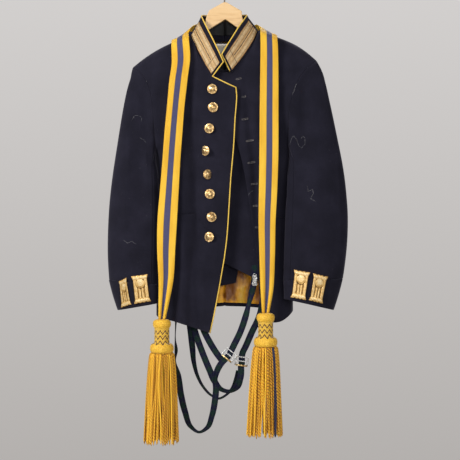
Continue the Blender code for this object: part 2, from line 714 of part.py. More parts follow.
def make_linings(sheets):
    """The linings that show at the neck and inside the back of the skirt."""
    in_collar = -(COLLAR / 2 + CURVED_CLEARANCE + LINING / 2)
    in_neck = -(WOOL / 2 + CURVED_CLEARANCE + LINING / 2)
    in_back = -(WOOL / 2 + CLEARANCE + LINING / 2)
    for side in ("right", "left"):
        collar = sheets[side + "_collar"]
        cols = [0.12, *range(1, collar.points.shape[1])]
        ring = collar.read((0.08, 1, 1.9, 2.25), cols).trimmed("end")
        wall("collar_lining_" + side, ring, LINING, "satin_black", lift=in_collar)
        back = sheets[side + "_back"]
        cols = range(SHOULDER_STEPS + 1, back.points.shape[1])
        yoke = back.read((0.9, 2, 3, 4, 5), cols).trimmed("end")
        wall("back_neck_lining_" + side, yoke, LINING, "lining_olive", lift=in_neck)
    back = joined(sheets["right_back"], sheets["left_back"])
    middle = SHOULDER_STEPS + BACK_NECK_STEPS
    loop = back.read((1.05, 1.6), (middle - 0.62, middle, middle + 0.38))
    wall("hanger_loop", loop, LINING, "tape", lift=in_neck - LINING - CURVED_CLEARANCE)
    for side in ("right", "left"):
        sheet = sheets[side + "_back"]
        last = sheet.points.shape[1] - 1
        rows = [WAIST_ROW + 0.1, *range(WAIST_ROW + 1, HEM_ROW), HEM_ROW - 0.18]
        cols = [1.0, *range(2, last + 1)]
        skirt = sheet.read(rows, cols).trimmed("end")
        wall(side + "_skirt_lining", skirt, LINING, "lining_gold", lift=in_back)


def mitred(first, second):
    """The outward step that keeps one distance from both of two edges."""
    return (first + second) / (1 + np.dot(first, second))


def make_piping(sheets):
    """The cord along the collar's edge, and on down the right front to the hem."""
    reach = PIPING_RADIUS + CLEARANCE + PIPING_PLAY
    for side in ("right", "left"):
        collar = sheets[side + "_collar"]
        stretches = [(collar.points[0, ::-1], collar.outward("top")[::-1]),
                     (collar.points[:, 0], collar.outward("start"))]
        if side == "right":
            front = sheets["right_front"]
            notch = SHOULDER_STEPS + FRONT_NECK_STEPS
            stretches.append((front.points[0, notch:], front.outward("top")[notch:]))
            stretches.append((front.points[:, -1], front.outward("end")))
        route = []
        for points, steps in stretches:
            if route:
                corner = points[0] + mitred(last_step, steps[0]) * reach
                route[-1] = corner
                points = points[1:]
                steps = steps[1:]
            route.extend(points + steps * reach)
            last_step = steps[-1]
        route[0] = route[0] + np.array([math.copysign(0.2, route[1][0]), 0, 0])
        if side == "left":
            route[-1] = route[-2] * PIPING_CUT + route[-1] * (1 - PIPING_CUT)
        tube("piping_" + side, route, PIPING_RADIUS, "yellow_cord")


# Buttons of the right front, from the collar down
BUTTONS = table("x z", (-30, -288), (-28, -333), (-37, -385), (-46, -440), (-42, -498),
                (-36, -546), (-32, -603), (-37, -652))
BUTTON_PROFILE = ((0, 0), (11.8, 0), (12.5, 0.8), (12.2, 2.0), (9.6, 4.4), (5.4, 6.3), (0, 7))
BUTTON_SIDES = 12

# Embroidered tabs on the cuffs: their corners, outer side first, top then foot
TABS = {
    "right_outer": table("x z", (-261, -762), (-241, -752), (-229, -818), (-256, -827)),
    "right_inner": table("x z", (-230, -749), (-188, -743), (-180, -810), (-222, -817)),
    "left_inner": table("x z", (211, -739), (170, -732), (162, -800), (200, -807)),
    "left_outer": table("x z", (256, -750), (217, -741), (207, -807), (242, -816)),
}
TAB_STEPS = 5
TAB_WAIST = 0.17
TAB_LIFT = 0.7
TAB_THICKNESS = 1.0
TAB_RELIEF = 0.9
TAB_BANDS = (2, 3)


def lathe(profile, sides, stretch=1.0):
    """A turned mesh about Z from radius and height pairs, from its foot to its top."""
    shape = bmesh.new()
    rings = []
    for radius, height in profile:
        if radius == 0:
            rings.append([shape.verts.new((0, 0, height * MM))])
            continue
        ring = []
        for k in range(sides):
            angle = 2 * math.pi * k / sides
            place = (radius * math.cos(angle), radius * math.sin(angle) * stretch, height)
            ring.append(shape.verts.new(Vector(place) * MM))
        rings.append(ring)
    for lower, upper in zip(rings, rings[1:]):
        for k in range(sides):
            after = (k + 1) % sides
            if len(lower) == 1:
                shape.faces.new([lower[0], upper[after], upper[k]])
            elif len(upper) == 1:
                shape.faces.new([lower[k], lower[after], upper[0]])
            else:
                shape.faces.new([lower[k], lower[after], upper[after], upper[k]])
    bmesh.ops.recalc_face_normals(shape, faces=shape.faces[:])
    mesh = bpy.data.meshes.new("turned")
    shape.to_mesh(mesh)
    shape.free()
    return mesh


def make_buttons(sheets):
    """Domed buttons down the right front, square to the cloth under each."""
    cloth = skin(sheets["right_front"], WOOL / 2)
    mesh = lathe(BUTTON_PROFILE, BUTTON_SIDES)
    mesh.name = "button"
    edge = BUTTON_PROFILE[2][0]
    for k, (x, z) in enumerate(zip(BUTTONS["x"], BUTTONS["z"])):
        spots = [front_of(cloth, x + edge * math.cos(turn), z + edge * math.sin(turn))
                 for turn in np.arange(12) * math.pi / 6]
        across = spots[0] - spots[6]
        upward = spots[3] - spots[9]
        facing = unit(np.cross(across, upward))
        middle = front_of(cloth, x, z)
        rise = max(np.dot(spot - middle, facing) for spot in [*spots, middle])
        if k == 0:
            button = add_object("button_1", mesh, "gilt")
        else:
            button = bpy.data.objects.new(f"button_{k + 1}", mesh)
            bpy.context.scene.collection.objects.link(button)
            button.parent = bpy.data.objects["uniform"]
        button.location = Vector(middle + facing * (rise + CLEARANCE)) * MM
        button.rotation_euler = Vector(facing).to_track_quat("Z", "Y").to_euler()


def make_tabs(sheets):
    """Spool-shaped embroidered tabs laid on the front of the cuffs."""
    for name, corners in TABS.items():
        side = name.split("_")[0]
        cloth = skin(sheets[side + "_sleeve"], CUFF_THICKNESS - WOOL / 2)
        places = columns_of(corners, "x z")
        points = np.zeros((TAB_STEPS + 1, TAB_STEPS + 1, 3))
        raised = np.zeros((TAB_STEPS + 1, TAB_STEPS + 1))
        for row in range(TAB_STEPS + 1):
            down = row / TAB_STEPS
            start = places[0] * (1 - down) + places[3] * down
            end = places[1] * (1 - down) + places[2] * down
            pinch = TAB_WAIST * math.sin(math.pi * down)
            for col in range(TAB_STEPS + 1):
                across = pinch + (1 - 2 * pinch) * col / TAB_STEPS
                x, z = start * (1 - across) + end * across
                points[row, col] = front_of(cloth, x, z)
                if 0 < row < TAB_STEPS and 0 < col < TAB_STEPS and (col % 2 or row in TAB_BANDS):
                    raised[row, col] = TAB_RELIEF
        sheet = Sheet(points, points.mean(axis=(0, 1)) + np.array([0, BEHIND, 0]))
        sheet.normals[:] = unit(sheet.normals.mean(axis=(0, 1)))
        wall("cuff_tab_" + name, sheet, TAB_THICKNESS, "gold_lace",
             lift=TAB_LIFT + TAB_THICKNESS / 2, raised=raised)


# Sash: its outer and inner edges from the centre of the back, over a shoulder and down
SASH = {
    "right": table("xa ya za xb yb zb", (0, 50, -170, 0, 43, -122),
                   (-60, 46, -168, -48, 40, -118), (-98, 34, -166, -68, 26, -116),
                   (-120, 18, -158, -82, 15, -124.5), (-131, 0, -160.8, -90, 0, -142.8),
                   (-131, -20, -164.2, -89, -20, -148.2), (-131, -39, -178, -88, -39, -162),
                   (-130, -48, -198, -86, -48, -181), (-129.5, -52, -222, -84, -52, -205),
                   (-135, -57, -267, -90, -57, -262), (-141, -57.5, -333, -98, -57.5, -333),
                   (-147, -58, -397, -103, -58, -397), (-152, -58.5, -465, -108, -58.5, -465),
                   (-158, -59, -537, -112, -59, -537), (-164, -59.5, -610, -116, -59.5, -610),
                   (-165, -60, -676, -120, -60, -676), (-161, -61, -764, -126, -61, -764),
                   (-161, -61.5, -807, -134.5, -61.5, -807),
                   (-161.5, -62, -853.1, -144.5, -62, -853.1)),
    "left": table("xa ya za xb yb zb", (0, 50, -170, 0, 43, -122),
                  (60, 46, -163, 48, 40, -116), (98, 34, -156, 68, 26, -110),
                  (120, 18, -143.7, 81, 15, -113.5), (130, 0, -147.8, 89, 0, -131),
                  (131, -20, -152, 89, -20, -137.6), (131, -38, -165, 89, -38, -150),
                  (132, -44, -184, 89, -44, -169.5), (132.5, -47, -208, 89, -47, -195),
                  (133, -49, -267, 88, -49, -262), (133, -49, -333, 87, -49, -333),
                  (132.5, -49, -465, 86, -49, -465), (130, -50, -537, 85, -50, -537),
                  (126, -52, -610, 84, -52, -610), (124, -56, -698, 86, -56, -698),
                  (119, -60, -786, 89, -60, -786),
                  (109.5, -62, -837.7, 92.5, -62, -837.7)),
}
SASH_STEPS = 26

# Tassels: where the head hangs, and the fringe's lowest point
TASSELS = {
    "right": {"x": -153.0, "y": -62.0, "top": -853.4, "foot": -1160.0},
    "left": {"x": 101.0, "y": -62.0, "top": -838.0, "foot": -1143.0},
}
HEAD_PROFILE = ((0, -83.3), (22, -83.3), (27.2, -80), (29.2, -71), (27.2, -62), (19.6, -58),
                (18.6, -54), (18.6, -25), (18.2, -20), (21.4, -16.5), (22.3, -10), (20.5, -4),
                (14, 0), (0, 0))
HEAD_SIDES = 14
FRINGE_RINGS = (6.0, 13.5, 21.0, 28.0)
FRINGE_SIDES = 16
FRINGE_FLAT = 0.78
FRINGE_BACKING = 4.0
FRINGE_PARTING = 0.7
FRINGE_SPREAD = ((0.45, 1.24), (1.0, 1.54))
FRINGE_UNEVEN = 9.0


def make_sash(sheets):
    """The sash round the collar, in two halves that meet at the back."""
    for side, edges in SASH.items():
        outer = along(columns_of(edges, "xa ya za"), even(SASH_STEPS))
        inner = along(columns_of(edges, "xb yb zb"), even(SASH_STEPS))
        middle = (outer + inner) / 2
        sheet = Sheet(np.stack([outer, middle, inner], axis=1), (0, 0, -400))
        wall("sash_" + side, sheet.trimmed("top"), RIBBON, "sash")


def make_fringe(name, tassel):
    """Cords hanging from a disc under the tassel's head, parted down to their roots."""
    unevenness = np.random.default_rng(7 if tassel["x"] < 0 else 8)
    top = tassel["top"] + HEAD_PROFILE[0][1] - CLEARANCE
    roots = top - FRINGE_BACKING
    axis = Vector((tassel["x"], tassel["y"], 0))
    shape = bmesh.new()
    rings = []
    for height, radii in ((top, FRINGE_RINGS[-1:]), (roots, FRINGE_RINGS[::-1])):
        for radius in radii:
            ring = []
            for k in range(FRINGE_SIDES):
                angle = 2 * math.pi * (k + 0.5) / FRINGE_SIDES
                place = (radius * math.cos(angle), radius * math.sin(angle) * FRINGE_FLAT, height)
                ring.append(shape.verts.new((Vector(place) + axis) * MM))
            rings.append(ring)
    shape.faces.new(rings[0])
    shape.faces.new(rings[-1])
    cells = []
    for upper, lower in zip(rings, rings[1:]):
        for k in range(FRINGE_SIDES):
            after = (k + 1) % FRINGE_SIDES
            cells.append(shape.faces.new([upper[k], upper[after], lower[after], lower[k]]))
    bmesh.ops.recalc_face_normals(shape, faces=shape.faces[:])
    cords = cells[FRINGE_SIDES:]
    bmesh.ops.inset_individual(shape, faces=cords, thickness=FRINGE_PARTING * MM)
    lengths = (roots - tassel["foot"]) - FRINGE_UNEVEN * unevenness.random(len(cords))
    roots_at = [[corner.co.copy() for corner in cord.verts] for cord in cords]
    for share, spread in FRINGE_SPREAD:
        cords = bmesh.ops.extrude_discrete_faces(shape, faces=cords)["faces"]
        for cord, corners, length in zip(cords, roots_at, lengths):
            for corner, root in zip(cord.verts, corners):
                away = (root - axis * MM) * spread
                corner.co = Vector((away.x, away.y, 0)) + axis * MM
                corner.co.z = root.z - length * share * MM
    mesh = bpy.data.meshes.new(name)
    bmesh.ops.recalc_face_normals(shape, faces=shape.faces[:])
    shape.to_mesh(mesh)
    shape.free()
    add_object(name, mesh, "tassel")


def make_tassels():
    """Each tassel's wound head and its fringe."""
    for side, tassel in TASSELS.items():
        head = add_object("tassel_head_" + side, lathe(HEAD_PROFILE, HEAD_SIDES), "tassel")
        head.location = Vector((tassel["x"], tassel["y"], tassel["top"])) * MM
        make_fringe("tassel_fringe_" + side, tassel)


# Hanger: a wooden board with a lug at each end that holds the trouser bar
BOARD_THICKNESS = 10.0
BOARD_BELOW_NECK = 4.2
BOARD_BELOW_TIP = 7.0
BOARD_HEAD = table("x z", (-82, -163), (-75, -159), (-48, -116), (-45, -102), (-38, -86),
                   (-2, -66), (5, -66), (43, -88), (44, -102), (47, -112), (73, -147), (80, -151))
BOARD_FOOT = table("x z", (196, -226), (140, -188), (88, -168), (36, -132), (2.5, -109),
                   (-38, -134), (-90, -182), (-140, -202), (-196, -236))
LUG_INNER = 200.0
LUG_OUTER = 222.0
LUG_FOOT = -263.0
BAR_RADIUS = 7.0
BAR_HEIGHT = -252.0
BAR_SIDES = 16
HOOK_WIRE = 1.6
HOOK_INSIDE = 20.0
HOOK_TURN = 290.0
HOOK_STEPS = 18

# Trousers folded over the bar: each leg is one solid of two layers of cloth
LEG_THICKNESS = 5.0
LEGS = {
    "trouser_leg_inner": {"radius": 9.9, "front_low": 8.0, "back_low": -776.0},
    "trouser_leg_outer": {"radius": 15.3, "front_low": 0.0, "back_low": -768.0},
}
LEG_SWING = 4.6
LEG_FRONT_EDGES = (-135.0, 110.0)
LEG_BAR_EDGES = (-124.0, 104.0)
LEG_BACK_EDGES = (-150.0, 31.0)
LEG_LOW_AT_CENTRE = -717.5
LEG_LOW_SLOPE = -0.5
LEG_COLS = 6
LEG_ROWS = 5
LEG_ARC = 6


def make_hanger():
    """The board, its hook and the bar between its lugs."""
    right = along(columns_of(SHOULDER["right"], "x y z"), SHOULDER_SHARES)
    left = along(columns_of(SHOULDER["left"], "x y z"), SHOULDER_SHARES)
    drops = BOARD_BELOW_TIP + (BOARD_BELOW_NECK - BOARD_BELOW_TIP) * np.array(SHOULDER_SHARES)
    right[:, 2] -= drops
    left[:, 2] -= drops
    outline = [(-LUG_OUTER, LUG_FOOT), (-LUG_OUTER, right[0, 2])]
    outline += [(x, z) for x, y, z in right[1:-1]]
    outline += list(zip(BOARD_HEAD["x"], BOARD_HEAD["z"]))
    outline += [(x, z) for x, y, z in left[-2:0:-1]]
    outline += [(LUG_OUTER, left[0, 2]), (LUG_OUTER, LUG_FOOT)]
    outline += [(LUG_INNER, LUG_FOOT), (LUG_INNER, BOARD_FOOT["z"][0] - 4)]
    outline += list(zip(BOARD_FOOT["x"], BOARD_FOOT["z"]))
    outline += [(-LUG_INNER, BOARD_FOOT["z"][-1] - 4), (-LUG_INNER, LUG_FOOT)]
    count = len(outline)
    half = BOARD_THICKNESS / 2
    points = [(x, -half, z) for x, z in outline] + [(x, half, z) for x, z in outline]
    faces = [list(range(count)), list(range(2 * count - 1, count - 1, -1))]
    for k in range(count):
        after = (k + 1) % count
        faces.append([k, count + k, count + after, after])
    add_solid("hanger_board", points, faces, "wood")
    reach = LUG_INNER - CLEARANCE
    bar = add_object("hanger_bar", lathe(((0, -reach), (BAR_RADIUS, -reach), (BAR_RADIUS, reach),
                                          (0, reach)), BAR_SIDES), "wood")
    bar.location = (0, 0, BAR_HEIGHT * MM)
    bar.rotation_euler = (0, math.pi / 2, 0)
    radius = HOOK_INSIDE + HOOK_WIRE
    shank = BOARD_HEAD["z"].max() + CLEARANCE
    route = [(0, 0, shank), (0, 0, -HOOK_INSIDE - radius - 6)]
    for angle in np.radians(np.linspace(-90, HOOK_TURN - 90, HOOK_STEPS + 1)):
        route.append((radius * math.cos(angle), 0, -HOOK_INSIDE + radius * math.sin(angle)))
    tube("hanger_hook", route, HOOK_WIRE, "steel")


def make_trousers():
    """Two legs laid over the bar, the waist in front and the hems behind."""
    edges = np.array([LEG_FRONT_EDGES, LEG_BAR_EDGES, LEG_BACK_EDGES])
    for name, leg in LEGS.items():
        radius = leg["radius"]
        rows = []
        for down in even(LEG_ROWS)[:-1]:
            left, right = edges[0] * (1 - down) + edges[1] * down
            x = np.linspace(left, right, LEG_COLS + 1)
            low = LEG_LOW_AT_CENTRE + LEG_LOW_SLOPE * x + leg["front_low"]
            z = low * (1 - down) + BAR_HEIGHT * down
            rows.append(np.stack([x, np.full_like(x, -radius - LEG_SWING * (1 - down)), z], axis=1))
        for angle in np.linspace(0, math.pi, LEG_ARC + 1):
            x = np.linspace(*edges[1], LEG_COLS + 1)
            y = np.full_like(x, -radius * math.cos(angle))
            z = np.full_like(x, BAR_HEIGHT + radius * math.sin(angle))
            rows.append(np.stack([x, y, z], axis=1))
        for down in even(LEG_ROWS)[1:]:
            left, right = edges[1] * (1 - down) + edges[2] * down
            x = np.linspace(left, right, LEG_COLS + 1)
            z = np.full_like(x, BAR_HEIGHT * (1 - down) + leg["back_low"] * down)
            rows.append(np.stack([x, np.full_like(x, radius), z], axis=1))
        wall(name, Sheet(np.array(rows), (0, 0, -500)), LEG_THICKNESS, "wool")


# Braces: their routes from the waistband, and how far the strap is turned from flat
BRACES = {
    "brace_1": table("x y z turn", (-126, -23.5, -640, 0), (-130, -23.5, -739, 0),
                     (-126, -23, -809, 30), (-121, -21, -853, 70), (-122, -20, -908, 80),
                     (-120, -20, -933, 60), (-122, -20, -957, 80), (-115, -20, -995, 30),
                     (-108, -20, -1044, 10), (-98, -20, -1086, 20), (-83, -20, -1124, 45),
                     (-63, -20, -1137, 60), (-43, -20, -1126, 45), (-31, -21, -1096, 30),
                     (-23.5, -23, -1057, 15), (-21, -25, -1027, 20), (-23.5, -26, -1007, 40),
                     (-18.5, -22, -985, 20), (-8.6, -19.5, -967, 0), (6, -19.5, -952, 0)),
    "brace_2": table("x y z turn", (-72, -23.5, -660, 0), (-70, -23.5, -729, 0),
                     (-63, -23, -809, 0), (-53, -20, -880, 0), (-36, -16, -915, 0),
                     (-21, -12, -940, 0), (-8.6, -11, -957, 0)),
    "brace_3": table("x y z turn", (76, -23.5, -722, 0), (73, -23.5, -769, 0), (68, -23.5, -789, 0),
                     (61, -23, -816, 50), (53, -21, -848, 20), (38.6, -20, -890, 0),
                     (24, -19.5, -920, 0), (15, -19.5, -937.6, 0)),
    "brace_4": table("x y z turn", (99, -23.5, -735, 0), (98, -23.5, -774, 0), (86, -18, -851, 0),
                     (68, -12, -890, 0), (53, -8, -925, 0), (45, -7.7, -942, 0),
                     (44, -7.7, -954, 0)),
    "brace_5": table("x y z turn", (-89, -23.5, -650, 0), (-91, -23.5, -724, 0),
                     (-86, -18, -809, 0), (-75.5, -10, -880, 0), (-56, -8, -938, 0),
                     (-38, -8, -982, 0), (-23.5, -8, -1014, 15), (-8.6, -8, -1032, 40),
                     (14, -8, -1037, 50), (31, -8, -1027, 25), (40, -8, -1002, 0),
                     (41.5, -7.7, -969, 0)),
    "brace_6": table("x y z turn", (-108, -23.5, -640, 0), (-108, -23.5, -719, 0),
                     (-97, -8, -809, 0), (-86, 2, -878, 0), (-80.5, 3, -928, 20),
                     (-77, 6, -965, 45), (-68, 8, -1000, 58), (-53, 10, -1029, 64),
                     (-33, 11, -1050, 66), (-16, 11, -1058, 66), (4, 11, -1049, 66),
                     (19, 11, -1032, 62), (29, 9, -1007, 55), (36, 4, -987, 30)),
}
STRAP_STEP = 17.0
BUCKLE_COLS = (-17, -13, 13, 17)
BUCKLE_ROWS = (-12, -9, -1.5, 1.5, 9, 12)
BUCKLE_THICKNESS = 2.0
BUCKLES = {
    "brace_buckle_1": {"place": (12, -21.5, -946), "lean": 40.0},
    "brace_buckle_2": {"place": (43, -9.7, -962), "lean": 8.0},
}
CLIP_SIZE = (11.0, 1.5, 27.0)
CLIP_PLACE = (75.0, -25.3, -760.0)


def make_braces():
    """Flat straps along their routes, with a slide buckle where two of them meet."""
    for name, route in BRACES.items():
        places = columns_of(route, "x y z turn")
        length = np.linalg.norm(np.diff(places[:, :3], axis=0), axis=1)
        keys = np.concatenate([[0.0], np.cumsum(length)])
        steps = np.linspace(0, keys[-1], int(keys[-1] / STRAP_STEP) + 1)
        line = curve(keys, places, steps)
        heading = unit(np.gradient(line[:, :3], axis=0))
        across = unit(np.cross(heading, (0.0, 1.0, 0.0)))
        facing = np.cross(heading, across)
        turn = np.radians(line[:, 3:])
        width = across * np.cos(turn) + facing * np.sin(turn)
        sheet = Sheet.__new__(Sheet)
        edges = [line[:, :3] + width * STRAP_WIDTH * side for side in (-0.5, 0.5)]
        sheet.points = np.stack(edges, axis=1)
        sheet.normals = np.repeat(np.cross(heading, width)[:, None], 2, axis=1)
        wall(name, sheet, STRAP, "tartan")


def make_buckles():
    """Slide buckles, each a plate with two slots, and the clip on a strap's top."""
    for name, buckle in BUCKLES.items():
        shape = bmesh.new()
        grid = [[shape.verts.new(Vector((x, 0, z)) * MM) for x in BUCKLE_COLS]
                for z in BUCKLE_ROWS]
        for row in range(len(BUCKLE_ROWS) - 1):
            for col in range(len(BUCKLE_COLS) - 1):
                if col == 1 and row in (1, 3):
                    continue
                shape.faces.new([grid[row][col], grid[row][col + 1], grid[row + 1][col + 1],
                                 grid[row + 1][col]])
        mesh = bpy.data.meshes.new(name)
        shape.to_mesh(mesh)
        shape.free()
        thing = add_object(name, mesh, "white_metal")
        thing.location = Vector(buckle["place"]) * MM
        thing.rotation_euler = (0, math.radians(buckle["lean"]), 0)
        thick = thing.modifiers.new("Thickness", "SOLIDIFY")
        thick.thickness = BUCKLE_THICKNESS * MM
        thick.offset = 0
    bpy.ops.mesh.primitive_cube_add(size=1.0, location=Vector(CLIP_PLACE) * MM)
    clip = bpy.context.object
    clip.name = "brace_clip"
    clip.data.transform(Matrix.Diagonal((*(Vector(CLIP_SIZE) * MM), 1.0)))
    clip.data.materials.append(material("white_metal"))
    clip.parent = bpy.data.objects["uniform"]


def main():
    """Build the whole uniform in an empty scene."""
    for thing in list(bpy.data.objects):
        bpy.data.objects.remove(thing, do_unlink=True)
    uniform = bpy.data.objects.new("uniform", None)
    bpy.context.scene.collection.objects.link(uniform)
    sheets = make_sheets()
    make_tunic(sheets)
    make_linings(sheets)
    make_piping(sheets)
    make_buttons(sheets)
    make_tabs(sheets)
    make_sash(sheets)
    make_tassels()
    make_hanger()
    make_trousers()
    make_braces()
    make_buckles()


main()
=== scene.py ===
"""Looks of a military officer's uniform on its hanger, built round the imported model."""
import math

import bmesh
import bpy
import numpy as np
from mathutils import Matrix, Vector
from mathutils.bvhtree import BVHTree


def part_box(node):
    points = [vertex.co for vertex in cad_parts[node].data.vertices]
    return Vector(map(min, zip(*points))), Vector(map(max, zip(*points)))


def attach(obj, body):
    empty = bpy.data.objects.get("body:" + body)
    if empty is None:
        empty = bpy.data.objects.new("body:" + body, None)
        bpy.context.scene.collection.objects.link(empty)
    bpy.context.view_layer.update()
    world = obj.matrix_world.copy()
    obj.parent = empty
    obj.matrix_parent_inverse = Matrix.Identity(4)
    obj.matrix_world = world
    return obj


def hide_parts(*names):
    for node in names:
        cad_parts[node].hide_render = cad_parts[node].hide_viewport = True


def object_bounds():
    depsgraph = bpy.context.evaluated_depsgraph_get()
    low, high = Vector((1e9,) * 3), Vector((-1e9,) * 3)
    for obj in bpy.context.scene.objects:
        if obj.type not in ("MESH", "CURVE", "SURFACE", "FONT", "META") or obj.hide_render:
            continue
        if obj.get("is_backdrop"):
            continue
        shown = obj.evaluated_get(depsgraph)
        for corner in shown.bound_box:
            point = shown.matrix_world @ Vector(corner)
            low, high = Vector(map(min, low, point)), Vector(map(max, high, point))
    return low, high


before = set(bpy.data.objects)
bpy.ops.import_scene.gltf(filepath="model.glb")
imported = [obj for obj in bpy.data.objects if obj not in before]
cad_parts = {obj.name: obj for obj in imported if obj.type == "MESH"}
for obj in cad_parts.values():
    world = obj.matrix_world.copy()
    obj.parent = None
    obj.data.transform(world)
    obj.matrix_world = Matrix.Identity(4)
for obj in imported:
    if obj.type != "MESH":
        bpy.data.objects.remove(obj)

cad_box = [list(corner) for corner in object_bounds()]


# The room: a pale floor well below the hanging uniform, a shaded surround that is pale like a
# wall behind it and dim elsewhere, and large soft lamps, with the camera square on to the tunic.
CAMERA_PLACE = (0.01375, -3.0, -0.635)
CAMERA_LENS = 93.9
FLOOR_HEIGHT = -1.62
FLOOR_RADIUS = 1.25
FLOOR_PALE = (0.62, 0.61, 0.59)
WALL_TOP = (0.66, 0.64, 0.63)
WALL_FOOT = (0.44, 0.42, 0.405)
WALL_SPREAD = 2.2
WALL_EDGE = (0.72, 0.90)
ROOM_GREY = (0.20, 0.20, 0.205)

camera = bpy.data.objects.new("camera", bpy.data.cameras.new("camera"))
camera.data.lens = CAMERA_LENS
camera.data.sensor_width = 36
camera.data.clip_end = 30
camera.location = CAMERA_PLACE
camera.rotation_euler = (math.pi / 2, 0, 0)
bpy.context.collection.objects.link(camera)
bpy.context.scene.camera = camera
bpy.context.scene.view_settings.view_transform = "Standard"


class Patterns:
    """The node tree of a world or a material, with short ways to build a pattern in it."""

    def __init__(self, owner):
        owner.use_nodes = True
        self.nodes = owner.node_tree.nodes
        self.links = owner.node_tree.links

    def add(self, kind, values=None, **settings):
        """A node of one kind; values go to its input sockets, by name or number."""
        node = self.nodes.new("ShaderNode" + kind)
        for setting, value in settings.items():
            setattr(node, setting, value)
        for socket, value in (values or {}).items():
            if isinstance(value, bpy.types.NodeSocket):
                self.links.new(value, node.inputs[socket])
            else:
                node.inputs[socket].default_value = value
        return node

    def place(self, stretch=(1, 1, 1), turn=(0, 0, 0)):
        """Places on the object, stretched and turned."""
        source = self.add("TexCoord").outputs["Object"]
        return self.add("Mapping", {"Vector": source, "Scale": stretch,
                                    "Rotation": turn}).outputs[0]

    def chart(self):
        """The piece's own U map, and its parts across and along the piece."""
        where = self.add("UVMap", uv_map="chart").outputs[0]
        return where, *self.add("SeparateXYZ", {0: where}).outputs[:2]

    def maths(self, operation, *values, **settings):
        """One operation on patterns and numbers."""
        return self.add("Math", dict(enumerate(values)), operation=operation,
                        **settings).outputs[0]

    def waves(self, where, direction, scale, **values):
        """How strong a pattern of parallel waves is at each point."""
        return self.add("TexWave", {"Vector": where, "Scale": scale, **{
            name.replace("_", " "): value for name, value in values.items()}},
            bands_direction=direction).outputs[1]

    def noise(self, where, scale, detail=2.0, rough=0.5):
        """How strong a soft random pattern is at each point."""
        return self.add("TexNoise", {"Vector": where, "Scale": scale, "Detail": detail,
                                     "Roughness": rough}).outputs[0]

    def sum(self, *pairs):
        """Patterns added together, each times its weight."""
        total = None
        for pattern, weight in pairs:
            term = self.maths("MULTIPLY", pattern, weight)
            total = term if total is None else self.maths("ADD", total, term)
        return total

    def ramp(self, pattern, *stops):
        """Colours along a pattern's strength, from (place, colour) stops."""
        node = self.add("ValToRGB", {0: pattern})
        band = node.color_ramp.elements
        while len(band) < len(stops):
            band.new(0.5)
        for element, (spot, colour) in zip(band, stops):
            element.position = spot
            element.color = (*colour, 1)
        return node.outputs[0]

    def mix(self, share, first, second, blend="MIX"):
        """Two colours mixed by a pattern's strength."""
        node = self.add("Mix", data_type="RGBA", blend_type=blend)
        for socket, value in zip((node.inputs[0], node.inputs[6], node.inputs[7]),
                                 (share, first, second)):
            if isinstance(value, bpy.types.NodeSocket):
                self.links.new(value, socket)
            elif isinstance(value, (int, float)):
                socket.default_value = value
            else:
                socket.default_value = (*value, 1)
        return node.outputs[2]


bpy.context.scene.world = bpy.data.worlds.new("room")
room = Patterns(bpy.context.scene.world)
_, backwards, upwards = room.add("SeparateXYZ", {
    0: room.add("TexCoord").outputs["Generated"]}).outputs
behind = room.ramp(backwards, *zip(WALL_EDGE, ((0, 0, 0), (1, 1, 1))))
wall = room.ramp(room.maths("MULTIPLY_ADD", upwards, WALL_SPREAD, 0.5),
                 (0.02, WALL_FOOT), (0.98, WALL_TOP))
room.links.new(room.mix(behind, ROOM_GREY, wall), room.nodes["Background"].inputs["Color"])

for name, place, aim, size, power in (
    ("key lamp", (-2.3, -2.0, 0.9), (0, 0, -0.55), 0.9, 96),
    ("fill lamp", (1.9, -2.7, 0.2), (0, 0, -0.6), 1.8, 26),
    ("front lamp", (0.1, -2.9, -0.3), (0, 0, -0.6), 0.7, 22),
    ("back lamp", (0.7, 2.6, 1.0), (0, 0, -0.5), 2.0, 40),
):
    lamp = bpy.data.objects.new(name, bpy.data.lights.new(name, "AREA"))
    lamp.data.size = size
    lamp.data.energy = power
    lamp.location = place
    lamp.rotation_euler = (Vector(aim) - Vector(place)).to_track_quat("-Z", "Y").to_euler()
    bpy.context.collection.objects.link(lamp)

disc = bmesh.new()
bmesh.ops.create_circle(disc, cap_ends=True, segments=96, radius=FLOOR_RADIUS,
                        matrix=Matrix.Translation((0, 0, FLOOR_HEIGHT)))
floor_mesh = bpy.data.meshes.new("floor")
disc.to_mesh(floor_mesh)
disc.free()
floor = bpy.data.objects.new("floor", floor_mesh)
bpy.context.collection.objects.link(floor)
pale = bpy.data.materials.new("pale floor")
pale.use_nodes = True
matt = pale.node_tree.nodes["Principled BSDF"]
matt.inputs["Base Color"].default_value = (*FLOOR_PALE, 1)
matt.inputs["Roughness"].default_value = 0.8
floor.data.materials.append(pale)
floor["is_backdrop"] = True


# The hanger: a flat board of pale varnished wood, sawn to a shoulder line with a shaped
# head, its edges rounded over, with a round bar between two lugs and a steel wire hook.
WOOD_LIGHT = (0.74, 0.48, 0.22)
WOOD_GLOW = (0.78, 0.53, 0.27)
WOOD_DARK = (0.52, 0.29, 0.11)
WOOD_EDGE_RADIUS = 0.0018
WIRE_GREY = (0.62, 0.61, 0.59)
WIRE_DARK = (0.5, 0.49, 0.47)
JOINS_WITHIN = 0.00003
SEAM_GAP = 0.000002
LIES_FLAT = math.radians(2)
SHARP_EDGE = math.radians(50)


def merged(node):
    """A bmesh of a CAD node with its loose triangles joined into one closed skin."""
    skin = bmesh.new()
    skin.from_mesh(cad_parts[node].data)
    bmesh.ops.remove_doubles(skin, verts=skin.verts[:], dist=JOINS_WITHIN)
    return skin


